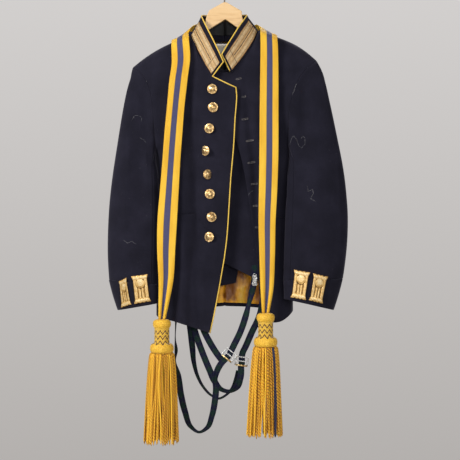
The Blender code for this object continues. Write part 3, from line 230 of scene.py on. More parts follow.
def rounded_over(node, radius, segments, sharp=SHARP_EDGE):
    """A CAD node's skin with whole flat faces, and every edge sharper than an angle bevelled."""
    skin = merged(node)
    bmesh.ops.dissolve_limit(skin, angle_limit=LIES_FLAT, verts=skin.verts[:],
                             edges=skin.edges[:])
    bmesh.ops.bevel(skin, geom=[e for e in skin.edges if e.calc_face_angle(0) >= sharp],
                    offset=radius, segments=segments, profile=0.5, affect="EDGES", material=-1,
                    clamp_overlap=True)
    return skin


def sealed(skin, ends=True):
    """Join a skin's seams, fill its open ends and turn its faces outwards."""
    bmesh.ops.remove_doubles(skin, verts=skin.verts[:], dist=SEAM_GAP)
    if ends:
        bmesh.ops.holes_fill(skin, edges=skin.edges[:], sides=0)
    bmesh.ops.recalc_face_normals(skin, faces=skin.faces[:])
    return skin


def piece_from(skin, name, finish, replaced=(), smooth=True):
    """Turn a bmesh into a finished piece on the one body, in place of some CAD nodes."""
    mesh = bpy.data.meshes.new(name)
    skin.to_mesh(mesh)
    skin.free()
    thing = bpy.data.objects.new(name, mesh)
    bpy.context.collection.objects.link(thing)
    mesh.materials.append(finish.material)
    mesh.shade_smooth() if smooth else mesh.shade_flat()
    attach(thing, "root")
    if replaced:
        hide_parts(*replaced)
    return thing


class Finish(Patterns):
    """A new material, with the sockets of its shader that patterns go to."""

    def __init__(self, name, roughness=0.6, metallic=0.0, **sockets):
        self.material = bpy.data.materials.new(name)
        super().__init__(self.material)
        self.shader = self.nodes["Principled BSDF"]
        self.shader.inputs["Roughness"].default_value = roughness
        self.shader.inputs["Metallic"].default_value = metallic
        for socket, value in sockets.items():
            self.shader.inputs[socket.replace("_", " ")].default_value = value

    def colour(self, socket):
        self.links.new(socket, self.shader.inputs["Base Color"])

    def rough(self, socket):
        self.links.new(socket, self.shader.inputs["Roughness"])

    def relief(self, pattern, depth, strength=1.0):
        """Bump of a pattern, depth metres from lowest to highest."""
        bump = self.add("Bump", {"Height": pattern, "Distance": depth, "Strength": strength})
        self.links.new(bump.outputs[0], self.shader.inputs["Normal"])


def mottled(name, scale, detail, *stops, **sockets):
    """A finish whose colour shifts with a fine random pattern."""
    finish = Finish(name, **sockets)
    finish.pattern = finish.noise(finish.place(), scale, detail)
    finish.colour(finish.ramp(finish.pattern, *stops))
    return finish


wood = Finish("varnished wood", roughness=0.42, Coat_Weight=0.25, Coat_Roughness=0.25)
grain_at = wood.place(stretch=(1.2, 4.0, 14.0), turn=(0, math.radians(3), 0))
rings = wood.noise(grain_at, 9.0, 5.0, 0.62)
flecks = wood.noise(wood.place(stretch=(14, 90, 420)), 6.0, 3.0)
wood.colour(wood.mix(wood.sum((flecks, 0.45)), wood.ramp(
    rings, (0.3, WOOD_DARK), (0.48, WOOD_LIGHT), (0.62, WOOD_GLOW), (0.8, WOOD_DARK)),
    WOOD_LIGHT))
wood.relief(wood.sum((rings, 0.5), (flecks, 0.5)), 0.0003)

board = rounded_over("hanger_board", WOOD_EDGE_RADIUS, 3)
piece_from(board, "board_rounded", wood, ["hanger_board"], smooth=False)

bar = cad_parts["hanger_bar"]
bar.data.materials.clear()
bar.data.materials.append(wood.material)
weld = bar.modifiers.new("Weld", "WELD")
weld.merge_threshold = JOINS_WITHIN

wire = mottled("steel wire", 160, 3, (0.3, WIRE_DARK), (0.7, WIRE_GREY), roughness=0.3,
               metallic=1.0)
piece_from(merged("hanger_hook"), "hook_wire", wire, ["hanger_hook"])


# The trousers: a folded pair of the same navy wool, hung over the bar inside the tunic, so
# that only dark cloth shows in the gap between the fronts. Each leg is its two layers.
NAVY = (0.0095, 0.0088, 0.0165)
NAVY_LIGHT = (0.0215, 0.0198, 0.0340)
NAVY_DARK = (0.0050, 0.0046, 0.0085)
LINT_GREY = (0.16, 0.155, 0.17)
SUBDIVISIONS = 2
SEAM_CREASE = 0.75
RIM_ANGLE = math.radians(42)
CENTRE_GAP = 0.0006
CREASE_REACH = 3
CREASE_FADE = (0.06, 0.94, 0.7)
TUBE_TURN = 9.0


def within(value, low=0.0, high=1.0):
    """A value kept between two limits."""
    return min(max(value, low), high)


def smoothed(skin, crease=SEAM_CREASE):
    """A cloth wall's skin made of even quads, rounded between its rims."""
    bmesh.ops.join_triangles(skin, faces=skin.faces[:], angle_face_threshold=RIM_ANGLE,
                             angle_shape_threshold=math.pi)
    layer = skin.edges.layers.float.new("crease_edge")
    for edge in skin.edges:
        if edge.calc_face_angle(0) > RIM_ANGLE:
            edge[layer] = crease
    mesh = bpy.data.meshes.new("coarse")
    skin.to_mesh(mesh)
    skin.free()
    coarse = bpy.data.objects.new("coarse", mesh)
    bpy.context.collection.objects.link(coarse)
    rounding = coarse.modifiers.new("Rounding", "SUBSURF")
    rounding.levels = rounding.render_levels = SUBDIVISIONS
    fine = bpy.data.meshes.new_from_object(
        coarse.evaluated_get(bpy.context.evaluated_depsgraph_get()))
    bpy.data.objects.remove(coarse)
    result = bmesh.new()
    result.from_mesh(fine)
    return result


def closed_up(skin):
    """Bring the cut edges along the centre of the back together, as the seam holds them."""
    for corner in skin.verts:
        if abs(corner.co.x) < CENTRE_GAP:
            corner.co.x = 0.0


def dented(skin, creases, inward, middle=None):
    """Press soft troughs into a skin, front and back walls together.

    A crease is (x, z, x, z, width, depth) in millimetres, from its start to its end, and it
    fades at both. inward is +1 where the body lies behind the cloth and -1 where before it;
    with a middle, each side of a tube is pressed towards that y.
    """
    for corner in skin.verts:
        x, y, z = corner.co * 1000
        depth = 0.0
        for x1, z1, x2, z2, width, deep in creases:
            dx, dz = x2 - x1, z2 - z1
            share = within(((x - x1) * dx + (z - z1) * dz) / (dx * dx + dz * dz))
            away = math.hypot(x - x1 - share * dx, z - z1 - share * dz) / width
            if away < CREASE_REACH:
                start, end, softness = CREASE_FADE
                fade = math.sin(math.pi * within(share, start, end)) ** softness
                depth += deep * fade * math.exp(-away * away)
        side = inward if middle is None else -math.tanh((y - middle) / TUBE_TURN)
        corner.co.y += depth * side / 1000


def woollen(name, ripple):
    """Fulled navy wool: a fine twill under a short nap, with lint and slight rubbing."""
    wool = Finish(name, roughness=0.92, Sheen_Weight=0.14, Sheen_Roughness=0.45,
                  Sheen_Tint=(0.66, 0.62, 0.82, 1), Specular_IOR_Level=0.15)
    at = wool.place()
    nap = wool.noise(at, 900, 3, 0.6)
    cloudy = wool.noise(at, 16, 4, 0.55)
    twill = wool.waves(wool.place(turn=(0, math.radians(45), 0)), "X", 420.0, Distortion=0.6,
                       Detail=1.0)
    shade = wool.sum((nap, 0.45), (cloudy, 0.45), (twill, 0.10))
    cloth = wool.ramp(shade, (0.28, NAVY_DARK), (0.5, NAVY), (0.72, NAVY_LIGHT))
    speck = wool.add("TexVoronoi", {"Vector": at, "Scale": 95.0, "Randomness": 1.0}).outputs[0]
    lint = wool.ramp(speck, (0.035, (1, 1, 1)), (0.06, (0, 0, 0)))
    patch = wool.ramp(wool.noise(at, 7, 2), (0.5, (0, 0, 0)), (0.64, (1, 1, 1)))
    wool.colour(wool.mix(wool.mix(1.0, lint, patch, "MULTIPLY"), cloth, LINT_GREY))
    ripples = wool.noise(wool.place(stretch=(1.0, 1.0, 0.55)), 22, 2, 0.4)
    wool.relief(wool.sum((ripples, 1.0), (nap, 0.10), (twill, 0.03)), ripple, 0.9)
    return wool


navy_wool = woollen("navy wool", 0.0012)
trouser_wool = woollen("trouser wool", 0.0006)
for leg, flat in (("inner", (0.26, 1.10)), ("outer", (0.26, 1.12))):
    wall = smoothed(merged("trouser_leg_" + leg))
    cloth = piece_from(wall, "trousers_" + leg, trouser_wool, ["trouser_leg_" + leg])


# The tunic: navy wool cut as two fronts and two backs, each seamed to its skirt at the
# waist, with two-piece sleeves and turned-up cuffs. It hangs flat, so its creases are long
# soft troughs down the fronts and a pressed ridge down each sleeve.
FRONT_CREASES = {
    "right": ((-96, -262, -76, -455, 11, 8.5), (-78, -430, -60, -720, 12, 7.5),
              (-112, -330, -96, -880, 13, -4.6), (-152, -290, -160, -660, 13, 5.2),
              (-136, -640, -128, -886, 9, 4.6), (-74, -690, -56, -900, 10, 5.6),
              (-22, -640, -8, -896, 12, -3.4), (-200, -236, -118, -330, 12, 1.8),
              (-34, -350, 14, -372, 8, 0.9), (-52, -462, 10, -452, 9, 1.1),
              (-50, -568, 6, -582, 9, 0.9), (-120, -602, -40, -624, 6, 1.4),
              (-96, -420, -30, -505, 11, 1.2)),
    "left": ((52, -262, 70, -470, 10, 6.5), (72, -400, 80, -640, 10, 7.5),
             (148, -290, 150, -640, 11, 6.0), (142, -600, 132, -858, 8, 5.0),
             (116, -640, 110, -860, 7, 3.4), (158, -640, 152, -850, 6, 3.2),
             (200, -228, 122, -318, 12, 1.8), (40, -300, 96, -330, 9, 1.0),
             (62, -450, 110, -492, 10, 1.2), (120, -604, 160, -612, 6, 1.2)),
}
BACK_CREASES = {
    "right": ((-60, -250, -74, -590, 15, 3.4), (-128, -260, -138, -600, 13, 3.8),
              (-30, -420, -96, -560, 12, 1.6), (-70, -600, -84, -846, 12, 3.6),
              (-124, -620, -134, -846, 11, 3.2), (-24, -640, -30, -850, 9, 2.0)),
    "left": ((54, -240, 70, -580, 14, 3.2), (130, -250, 134, -600, 12, 3.6),
             (40, -400, 110, -520, 13, 1.4), (62, -590, 80, -830, 11, 3.4),
             (118, -610, 132, -834, 12, 3.4), (28, -620, 26, -836, 9, 1.8)),
}
SLEEVE_CREASES = {
    "right": ((-231, -262, -243, -640, 4.5, -1.7), (-200, -270, -190, -430, 11, 5.5),
              (-205, -470, -268, -520, 10, 2.8), (-198, -585, -262, -560, 9, 2.6),
              (-210, -640, -276, -668, 11, 1.5), (-250, -300, -262, -400, 12, 1.6),
              (-240, -700, -196, -742, 9, 1.3)),
    "left": ((280, -440, 291, -690, 4.5, -1.6), (202, -262, 194, -420, 11, 5.5),
             (208, -452, 262, -498, 10, 2.7), (200, -560, 280, -588, 10, 2.8),
             (214, -640, 286, -622, 10, 1.4), (236, -258, 262, -380, 12, 1.5),
             (246, -690, 204, -728, 9, 1.2)),
}
SLEEVE_MIDDLE = -10.0

SLEEVE_REST = {"right": (-205.0, -153.0, 9.0), "left": (150.0, 200.0, -7.5)}
REST_HEIGHTS = (-860.0, -760.0, -445.0, -385.0)


def settled(skin, side):
    """Let a sleeve's inner side lie against the body, as its loose cloth does."""
    near, far, reach = SLEEVE_REST[side]
    foot, low, high, top = REST_HEIGHTS
    for corner in skin.verts:
        x, y, z = corner.co * 1000
        inside = (x - near) / (far - near)
        inside = within(inside if side == "right" else 1 - inside)
        rise = within((z - foot) / (low - foot)) * within((top - z) / (top - high))
        corner.co.x += reach * inside * rise / 1000


cloths = {}
for side in ("right", "left"):
    for part in ("front", "front_skirt", "back", "back_skirt", "top_sleeve", "under_sleeve",
                 "cuff"):
        node = side + "_" + part
        wall = smoothed(merged(node))
        if "back" in part:
            closed_up(wall)
            dented(wall, BACK_CREASES[side], -1)
        elif "front" in part:
            dented(wall, FRONT_CREASES[side], 1)
        elif part != "cuff":
            dented(wall, SLEEVE_CREASES[side], 1, SLEEVE_MIDDLE)
        if "sleeve" in part or part == "cuff":
            settled(wall, side)
        cloth = piece_from(wall, node + "_cloth", navy_wool, [node])
        cloths[node] = cloth


# The collar: a stiff stand collar of the same wool, hooked open, in two halves that meet at
# the centre of the back.
for side in ("right", "left"):
    wall = smoothed(merged("collar_" + side), crease=0.9)
    closed_up(wall)
    collar = piece_from(wall, "collar_cloth_" + side, navy_wool, ["collar_" + side])


# The linings that show: black satin inside the collar, grey-olive cloth below it inside the
# back, and golden satin inside the back of the skirt, felled a little above the hem.
FACING_GAP = 0.034
FACING_TOP = -0.200
FACING_BLACK = (0.008, 0.008, 0.009)


def satin(name, shades, ripple, stretch=(1, 1, 1), roughness=0.38, sheen=0.2, shine=0.3,
          faced=False):
    """Smooth satin with a fine warp, pulled into small ripples; faced adds a black edging."""
    silk = Finish(name, roughness=roughness, Sheen_Weight=sheen, Specular_IOR_Level=shine,
                  Sheen_Roughness=0.3)
    folds = silk.noise(silk.place(stretch=stretch), 24, 2, 0.45)
    warp = silk.noise(silk.place(stretch=(1, 1, 0.04)), 1400, 2)
    # The colour follows the same ripples as the bump: painted shade in their hollows and a painted
    # highlight on their crests.
    cloth = silk.ramp(silk.sum((folds, 0.93), (warp, 0.07)), *zip((0.36, 0.5, 0.66), shades))
    if faced:
        sideways, _, upwards = silk.add("SeparateXYZ", {0: silk.place()}).outputs
        low = silk.maths("LESS_THAN", upwards, FACING_TOP)
        inner = silk.maths("COMPARE", sideways, 0.0, FACING_GAP)
        edging = silk.maths("MAXIMUM", low, silk.maths("SUBTRACT", 1.0, inner))
        cloth = silk.mix(edging, cloth, FACING_BLACK)
    silk.colour(cloth)
    silk.relief(silk.sum((folds, 1.0), (warp, 0.02)), ripple, 1.0)
    return silk


black_satin = satin("black satin", ((0.004, 0.004, 0.004), (0.011, 0.010, 0.011),
                                    (0.03, 0.028, 0.03)), 0.003, sheen=0.0, shine=0.08)
# The grey-olive colours are paler than the cloth's own: painted light that lifts the lining out of
# the shade inside the back.
olive_lining_painted_lighter = satin("grey-olive lining", ((0.40, 0.36, 0.28), (0.60, 0.56, 0.46),
                                          (0.82, 0.77, 0.65)), 0.002, roughness=0.6, faced=True)
gold_satin = satin("golden satin", ((0.20, 0.060, 0.003), (0.84, 0.37, 0.014),
                                    (1.0, 0.60, 0.06)), 0.008, stretch=(1.5, 1.0, 0.9))
LININGS = (
    ("collar_lining_right", black_satin, "collar_lining", (0.26, 0.045), 0.0095, "collar_right"),
    ("collar_lining_left", black_satin, "collar_lining", (0.26, 0.045), 0.0092, "collar_left"),
    ("back_neck_lining_right", olive_lining_painted_lighter, "neck_lining", (0.08, 0.12), 0.0069, "right_back"),
    ("back_neck_lining_left", olive_lining_painted_lighter, "neck_lining", (0.08, 0.12), 0.0065, "left_back"),
    ("right_skirt_lining", gold_satin, "skirt_lining", (0.165, 0.27), 0.0392, "right_back_skirt"),
    ("left_skirt_lining", gold_satin, "skirt_lining", (0.165, 0.27), 0.0388, "left_back_skirt"),
)
for node, finish, slot, flat, area, carrier in LININGS:
    wall = smoothed(merged(node))
    closed_up(wall)
    if "skirt" in node:
        dented(wall, BACK_CREASES[node.split("_")[0]], -1)
    lining = piece_from(wall, node + "_cloth", finish, [node])

# The tape also glows faintly of its own: painted light that keeps it pale in the shade inside the
# neck.
tape = mottled("cotton tape with painted glow", 700, 3, (0.35, (0.62, 0.58, 0.52)), (0.65, (0.92, 0.88, 0.82)),
               roughness=0.8, Emission_Color=(0.75, 0.70, 0.64, 1), Emission_Strength=0.28)
LOOP_STRETCH = (1.55, 1.0, 0.42)
LOOP_LIFT = 0.0035

band = smoothed(merged("hanger_loop"))
middle = sum((corner.co for corner in band.verts), Vector()) / len(band.verts)
for corner in band.verts:
    corner.co = middle + Vector(c * k for c, k in zip(corner.co - middle, LOOP_STRETCH))
    corner.co.z += LOOP_LIFT
loop = piece_from(band, "loop_tape", tape, ["hanger_loop"])


# The piping: a round yellow cord sewn into the seam, along the collar's edge, down its front
# end, round the notch and on down the right front to the hem.
PIPING_SWELL = 0.0005

piping = mottled("yellow piping", 900, 2, (0.3, (0.62, 0.36, 0.03)), (0.6, (0.93, 0.62, 0.085)),
                 roughness=0.7, Sheen_Weight=0.2)
piping.relief(piping.pattern, 0.0002)
for side in ("right", "left"):
    skin = merged("piping_" + side)
    for corner in skin.verts:
        corner.normal_update()
    for corner in skin.verts:
        corner.co += corner.normal * PIPING_SWELL
    if side == "right":
        dented(skin, FRONT_CREASES["right"], 1)
    piece_from(skin, "piping_cord_" + side, piping, ["piping_" + side])


# The collar lace: a strip of woven gold braid on each half of the collar, two ribbed bars with
# a dark line between them, closed by a crossbar at the front end and sewn round its edge.
LACE_EDGES = {
    "right": ((-11.8, -57.3, -224.2, -32.2, -51.8, -251.0),
              (-22.2, -53.0, -202.1, -44.2, -47.3, -231.9),
              (-36.2, -43.5, -173.4, -56.6, -40.7, -208.1),
              (-49.3, -32.2, -147.1, -68.5, -31.9, -185.0),
              (-59.8, -19.1, -124.8, -79.1, -19.9, -163.0),
              (-63.0, -9.2, -115.8, -82.8, -7.9, -151.3)),
    "left": ((2.2, -50.7, -207.3, 18.8, -46.3, -240.4),
             (14.9, -47.4, -186.6, 33.8, -43.5, -222.0),
             (29.5, -39.9, -163.6, 50.3, -38.1, -199.6),
             (42.6, -30.4, -141.2, 65.0, -30.9, -176.5),
             (54.9, -18.5, -122.0, 76.9, -20.0, -153.2),
             (59.7, -9.1, -112.6, 81.0, -8.0, -140.6)),
}
LACE_STEPS = (40, 72)
LACE_THICKNESS = 0.0009
LACE_PADDING = 0.35
LACE_RIBS = 9
LACE_GROOVE = (0.035, 0.012, 0.55)
CROSSBAR = 0.16
BRAID_SHADES = ((0.36, (0.07, 0.028, 0.010)), (0.44, (0.42, 0.205, 0.075)),
                (0.51, (0.76, 0.46, 0.20)), (0.60, (1.0, 0.80, 0.47)))
BRAID_DARK = (0.03, 0.018, 0.014)


def unit(rows):
    """Rows of vectors made one long."""
    return rows / np.linalg.norm(rows, axis=1)[:, None]


def travelled(points):
    """How far along a line each of its points lies."""
    return np.concatenate([[0.0], np.cumsum(np.linalg.norm(np.diff(points, axis=0), axis=1))])


def flowing(rows, shares):
    """Rows of numbers read smoothly at shares of their way, by the length of their middle."""
    rows = np.array(rows, dtype=float)
    keys = travelled((rows[:, :3] + rows[:, 3:6]) / 2)
    keys /= keys[-1]
    slopes = np.gradient(rows, keys, axis=0)
    shares = np.asarray(shares, dtype=float)
    span = np.clip(np.searchsorted(keys, shares) - 1, 0, len(keys) - 2)
    width = (keys[span + 1] - keys[span])[:, None]
    t = np.clip((shares - keys[span]) / width[:, 0], 0, 1)[:, None]
    return ((2 * t ** 3 - 3 * t ** 2 + 1) * rows[span]
            + (t ** 3 - 2 * t * t + t) * width * slopes[span]
            + (3 * t * t - 2 * t ** 3) * rows[span + 1]
            + (t ** 3 - t * t) * width * slopes[span + 1])


def ribbon(rows, steps, rise):
    """A band between two edge lines in millimetres, as a grid with its own UV map.

    U runs across the band and V along it. rise(u, v) says how far a point stands off the
    band's middle, in millimetres, and may give an array of three for a sideways shift too.
    """
    across, along = steps
    band = bmesh.new()
    made = bmesh.ops.create_grid(band, x_segments=across, y_segments=along, size=0.5)["verts"]
    lines = flowing(rows, np.linspace(0, 1, along + 1))
    heading = np.gradient((lines[:, :3] + lines[:, 3:6]) / 2, axis=0)
    facing = unit(np.cross(heading, lines[:, 3:6] - lines[:, :3]))
    spots = {}
    for corner in made:
        u, v = corner.co.x + 0.5, corner.co.y + 0.5
        row = round(v * along)
        point = lines[row, :3] * (1 - u) + lines[row, 3:6] * u + facing[row] * rise(u, v)
        corner.co = Vector(point) / 1000
        spots[corner] = (u, v)
    chart = band.loops.layers.uv.new("chart")
    for face in band.faces:
        for turn in face.loops:
            turn[chart].uv = spots[turn.vert]
    return band


def thickened(thing, thickness):
    """Give a flat band its cloth's thickness, half to each side."""
    wall = thing.modifiers.new("Thickness", "SOLIDIFY")
    wall.thickness = thickness
    wall.offset = 0.0


def lace_relief(u, v):
    """The braid's two bars and its crossbar, with a groove between them."""
    edge = min(u, 1 - u, v * 3.2, 1.0)
    padding = LACE_PADDING * min(1.0, edge * 14)
    if v < CROSSBAR:
        return padding + 0.12 * math.sin(v * 300)
    wide, high, deep = LACE_GROOVE
    groove = math.exp(-((u - 0.5) / wide) ** 2) + math.exp(-((v - CROSSBAR) / high) ** 2)
    ribs = 0.10 * math.sin(u * 2 * math.pi * LACE_RIBS)
    return padding + ribs - deep * min(groove, 1.0)


gold = Finish("woven gold braid", roughness=0.5, metallic=0.15, Specular_IOR_Level=0.35)
lace_chart, lace_across, lace_along = gold.chart()
stretched = gold.add("Mapping", {"Vector": lace_chart, "Scale": (9.0, 34.0, 1.0)}).outputs[0]
weave = gold.waves(stretched, "DIAGONAL", 1.1, Distortion=2.6, Detail=2.0)
# Soft blotches that lighten and darken the braid's colour: painted glints on the metal thread,
# duller between them.
glint_blotches = gold.noise(gold.place(), 120, 5, 0.9)
shade = gold.sum((weave, 0.45), (glint_blotches, 0.55))
# Across the braid: a painted highlight down the crest of each bar, and painted shade towards the
# bars' sides and the braid's edges.
bars = gold.ramp(lace_across, (0.0, (0.25, 0.14, 0.06)), (0.05, (0.80, 0.64, 0.46)),
                 (0.11, (1, 0.95, 0.85)), (0.24, (1, 1, 1)), (0.38, (0.70, 0.54, 0.36)),
                 (0.44, (0.95, 0.85, 0.70)), (0.56, (0.95, 0.85, 0.70)),
                 (0.63, (0.70, 0.54, 0.36)), (0.75, (1, 1, 1)), (0.89, (1, 0.93, 0.80)),
                 (0.95, (0.75, 0.56, 0.36)), (1.0, (0.25, 0.14, 0.06)))
threads = gold.mix(1.0, gold.ramp(shade, *BRAID_SHADES), bars, "MULTIPLY")
middle_gap = gold.maths("COMPARE", lace_across, 0.5, 0.028)
bar_edges = gold.maths("COMPARE", gold.maths("PINGPONG", lace_across, 0.5), 0.115, 0.014)
past_bar = gold.maths("GREATER_THAN", lace_along, CROSSBAR + 0.03)
bar_foot = gold.maths("COMPARE", lace_along, CROSSBAR + 0.005, 0.007)
dark_line = gold.maths("MAXIMUM", gold.maths("MULTIPLY", middle_gap, past_bar),
                       gold.sum((bar_foot, 0.8), (bar_edges, 0.7)), use_clamp=True)
gold.colour(gold.mix(dark_line, threads, BRAID_DARK))
gold.relief(shade, 0.0005)
for side, rows in LACE_EDGES.items():
    outward = -1 if side == "left" else 1
    band = ribbon(rows, LACE_STEPS, lambda u, v: outward * lace_relief(u, v))
    lace = piece_from(band, "braid_" + side, gold, ["collar_lace_" + side])
    thickened(lace, LACE_THICKNESS)


# The sash: a ribbed ribbon woven in three stripes, yellow, blue and yellow, laid round the
# neck and over both shoulders. It hangs down the fronts and gathers into its knobs.
SASH_EDGES = {
    "right": ((0, 52, -170, 0, 45, -122), (-60, 48, -168, -48, 42, -118),
              (-98, 34, -166, -68, 26, -116), (-120, 18, -158, -82, 15, -124.5),
              (-131, 0, -160.8, -90, 0, -142.8), (-131, -20, -164.2, -89, -20, -148.2),
              (-131, -39, -178, -88, -39, -162), (-130, -48, -198, -86, -48, -181),
              (-129.5, -52, -222, -84, -52, -205), (-135, -57, -267, -90, -57, -262),
              (-141, -57.5, -333, -98, -57.5, -333), (-147, -58, -397, -103, -58, -397),
              (-152, -58.5, -465, -108, -58.5, -465), (-158, -59, -537, -112, -59, -537),
              (-164, -59.5, -610, -116, -59.5, -610), (-165, -60, -676, -120, -60, -676),
              (-161, -61, -764, -126, -61, -764), (-161, -61.5, -807, -134.5, -61.5, -807),
              (-161.5, -62, -853.1, -144.5, -62, -853.1)),
    "left": ((0, 52, -170, 0, 45, -122), (60, 48, -168, 48, 42, -128),
             (98, 34, -158, 68, 26, -122.5), (120, 18, -143.7, 81, 15, -119),
             (130, 0, -147.8, 89, 0, -131), (131, -20, -152, 89, -20, -137.6),
             (131, -38, -165, 89, -38, -150), (132, -44, -184, 89, -44, -169.5),
             (132.5, -47, -208, 89, -47, -195), (133, -49, -267, 88, -49, -262),
             (133, -49, -333, 87, -49, -333), (132.5, -49, -465, 86, -49, -465),
             (130, -50, -537, 85, -50, -537), (126, -52, -610, 84, -52, -610),
             (124, -56, -698, 86, -56, -698), (119, -60, -786, 89, -60, -786),
             (109.5, -62, -837.7, 92.5, -62, -837.7)),
}
SASH_STEPS = (32, 300)
SASH_THICKNESS = 0.0013
SASH_GATHERS = 0.76
BLUE_STRIPE = (0.325, 0.635)
STRIPE_SEAM = 0.012
SASH_YELLOWS = ((0.25, (0.66, 0.30, 0.012)), (0.5, (0.93, 0.53, 0.030)), (0.8, (1.0, 0.66, 0.07)))
SASH_BLUES = ((0.25, (0.018, 0.018, 0.07)), (0.5, (0.040, 0.040, 0.122)),
              (0.85, (0.17, 0.17, 0.31)))


def sash_folds(u, v):
    """Soft lengthwise waves that deepen into pleats where the band gathers at its knob."""
    gather = within((v - SASH_GATHERS) / (1 - SASH_GATHERS)) ** 1.5
    loose = 0.45 * math.sin(2.1 * math.pi * u + 7.5 * v) * math.sin(9.0 * v + 1.1)
    curl = -0.5 * math.exp(-((u - 0.02) / 0.05) ** 2) - 0.4 * math.exp(-((u - 0.98) / 0.05) ** 2)
    pleats = 4.2 * gather * math.cos(2 * math.pi * (1.5 * u - 0.24))
    return loose + curl + pleats


sash_silk = Finish("striped sash", roughness=0.55, Sheen_Weight=0.08, Sheen_Roughness=0.35,
                   Specular_IOR_Level=0.35)
sash_chart, sash_across, _ = sash_silk.chart()
ribs = sash_silk.waves(sash_chart, "Y", 150.0, Distortion=0.4, Detail=1.0, Detail_Scale=3.0)
warp = sash_silk.waves(sash_chart, "X", 14.0, Distortion=0.8, Detail=1.0)
shading = sash_silk.noise(sash_silk.place(stretch=(1.5, 1, 0.35)), 30, 3)
yellow = sash_silk.ramp(sash_silk.sum((shading, 0.55), (ribs, 0.25), (warp, 0.2)), *SASH_YELLOWS)
# The blue is palest on the crests of its ribs: a painted highlight, dotted along the weave.
blue = sash_silk.ramp(sash_silk.sum((ribs, 0.6), (warp, 0.4)), *SASH_BLUES)
in_blue = sash_silk.maths("COMPARE", sash_across, sum(BLUE_STRIPE) / 2,
                          (BLUE_STRIPE[1] - BLUE_STRIPE[0]) / 2)
seams = []
for seam in BLUE_STRIPE:
    seams += [(seam - STRIPE_SEAM, (1, 1, 1)), (seam, (0.35, 0.33, 0.3)),
              (seam + STRIPE_SEAM, (1, 1, 1))]
sash_silk.colour(sash_silk.mix(1.0, sash_silk.mix(in_blue, yellow, blue),
                               sash_silk.ramp(sash_across, *seams), "MULTIPLY"))
sash_silk.relief(sash_silk.sum((ribs, 0.6), (warp, 0.25), (shading, 0.5)), 0.0006)
for side, rows in SASH_EDGES.items():
    outward = 1 if side == "right" else -1
    band = ribbon(rows, SASH_STEPS, lambda u, v: outward * sash_folds(u, v))
    sash = piece_from(band, "sash_band_" + side, sash_silk, ["sash_" + side])
    thickened(sash, SASH_THICKNESS)


# The tassels: a wooden core covered in yellow cord, with a ring at each end and three zigzag
# lines of dark blue thread worked round its barrel, over a skirt of twisted cords.
TASSEL_PLACES = {"right": (-153.0, -62.0, -853.4), "left": (101.0, -62.0, -838.0)}
HEAD_PROFILE = ((2, -83.1), (20, -83.2), (25.5, -81.6), (28.4, -77.5), (29.1, -71), (28.2, -65),
                (25.2, -60.6), (20.2, -58.4), (18.4, -56.5), (18.1, -50), (18.2, -40),
                (18.1, -30), (18.1, -24.5), (18.6, -21.3), (20.6, -18.6), (22.0, -14.5),
                (22.2, -9.5), (21.0, -5), (17.5, -1.6), (11, -0.2), (3, -0.1))
HEAD_TURNS = 72
HEAD_RINGS = 61
HEAD_HEIGHT = 83.2
BARREL = (-59, -19)
BARREL_CHEVRONS = 18
CHEVRON_RELIEF = 0.30
CORD_SHADES = ((0.30, (0.44, 0.185, 0.008)), (0.48, (0.83, 0.45, 0.022)),
               (0.72, (0.98, 0.66, 0.09)))
THREAD_BLUE = (0.012, 0.012, 0.03)
ZIGZAG_SLOPE = 1.9
ZIGZAG_HALF_WIDTH = 0.016

corded = Finish("wound tassel cord", roughness=0.6, Sheen_Weight=0.12, Sheen_Roughness=0.4)
_, head_round, head_up = corded.chart()
wound = corded.noise(corded.place(), 380, 3, 0.75)
zig = corded.maths("PINGPONG", head_round, 1 / BARREL_CHEVRONS)
chevrons = corded.maths("PINGPONG", corded.sum((head_up, 1.0), (zig, -ZIGZAG_SLOPE)), 0.025)
on_ring = corded.ramp(head_up, (0.26, (1, 1, 1)), (0.29, (0, 0, 0)), (0.74, (0, 0, 0)),
                      (0.77, (1, 1, 1)))
strands = corded.mix(on_ring, corded.sum((chevrons, 26.0), (wound, 0.45)),
                     corded.sum((wound, 1.0)))
zigzag = 0.0
for level in (0.27, 0.42, 0.57):
    line = corded.maths("COMPARE", corded.maths("SUBTRACT", head_up, level),
                        corded.maths("MULTIPLY", zig, ZIGZAG_SLOPE), ZIGZAG_HALF_WIDTH)
    zigzag = corded.maths("MAXIMUM", zigzag, line)
corded.colour(corded.mix(zigzag, corded.ramp(strands, *CORD_SHADES), THREAD_BLUE))
corded.relief(corded.sum((strands, 1.0), (zigzag, -0.6)), 0.0012)



def grid_in(skin, across, along):
    """Add a flat grid to a skin, and give each corner's share across and its row along."""
    made = bmesh.ops.create_grid(skin, x_segments=across, y_segments=along, size=0.5)["verts"]
    return {corner: (corner.co.x + 0.5, round((corner.co.y + 0.5) * along)) for corner in made}


shares = np.linspace(0, len(HEAD_PROFILE) - 1, HEAD_RINGS)
radii, heights = (np.interp(shares, range(len(HEAD_PROFILE)), column)
                  for column in zip(*HEAD_PROFILE))
for side, (x, y, top) in TASSEL_PLACES.items():
    head = bmesh.new()
    spots = grid_in(head, HEAD_TURNS, HEAD_RINGS - 1)
    chart = head.loops.layers.uv.new("chart")
    for face in head.faces:
        for spot in face.loops:
            u, row = spots[spot.vert]
            spot[chart].uv = (u, (heights[row] + HEAD_HEIGHT) / HEAD_HEIGHT)
    for corner, (u, row) in spots.items():
        turn = 2 * math.pi * u
        radius, z = radii[row], heights[row]
        if BARREL[0] <= z <= BARREL[1]:
            radius += CHEVRON_RELIEF * math.cos(BARREL_CHEVRONS * turn) * math.cos(z * 0.42)
        corner.co = Vector((x + radius * math.cos(turn), y + radius * math.sin(turn),
                            top + z)) / 1000
    piece_from(sealed(head), "tassel_knob_" + side, corded,
               ["tassel_head_" + side])


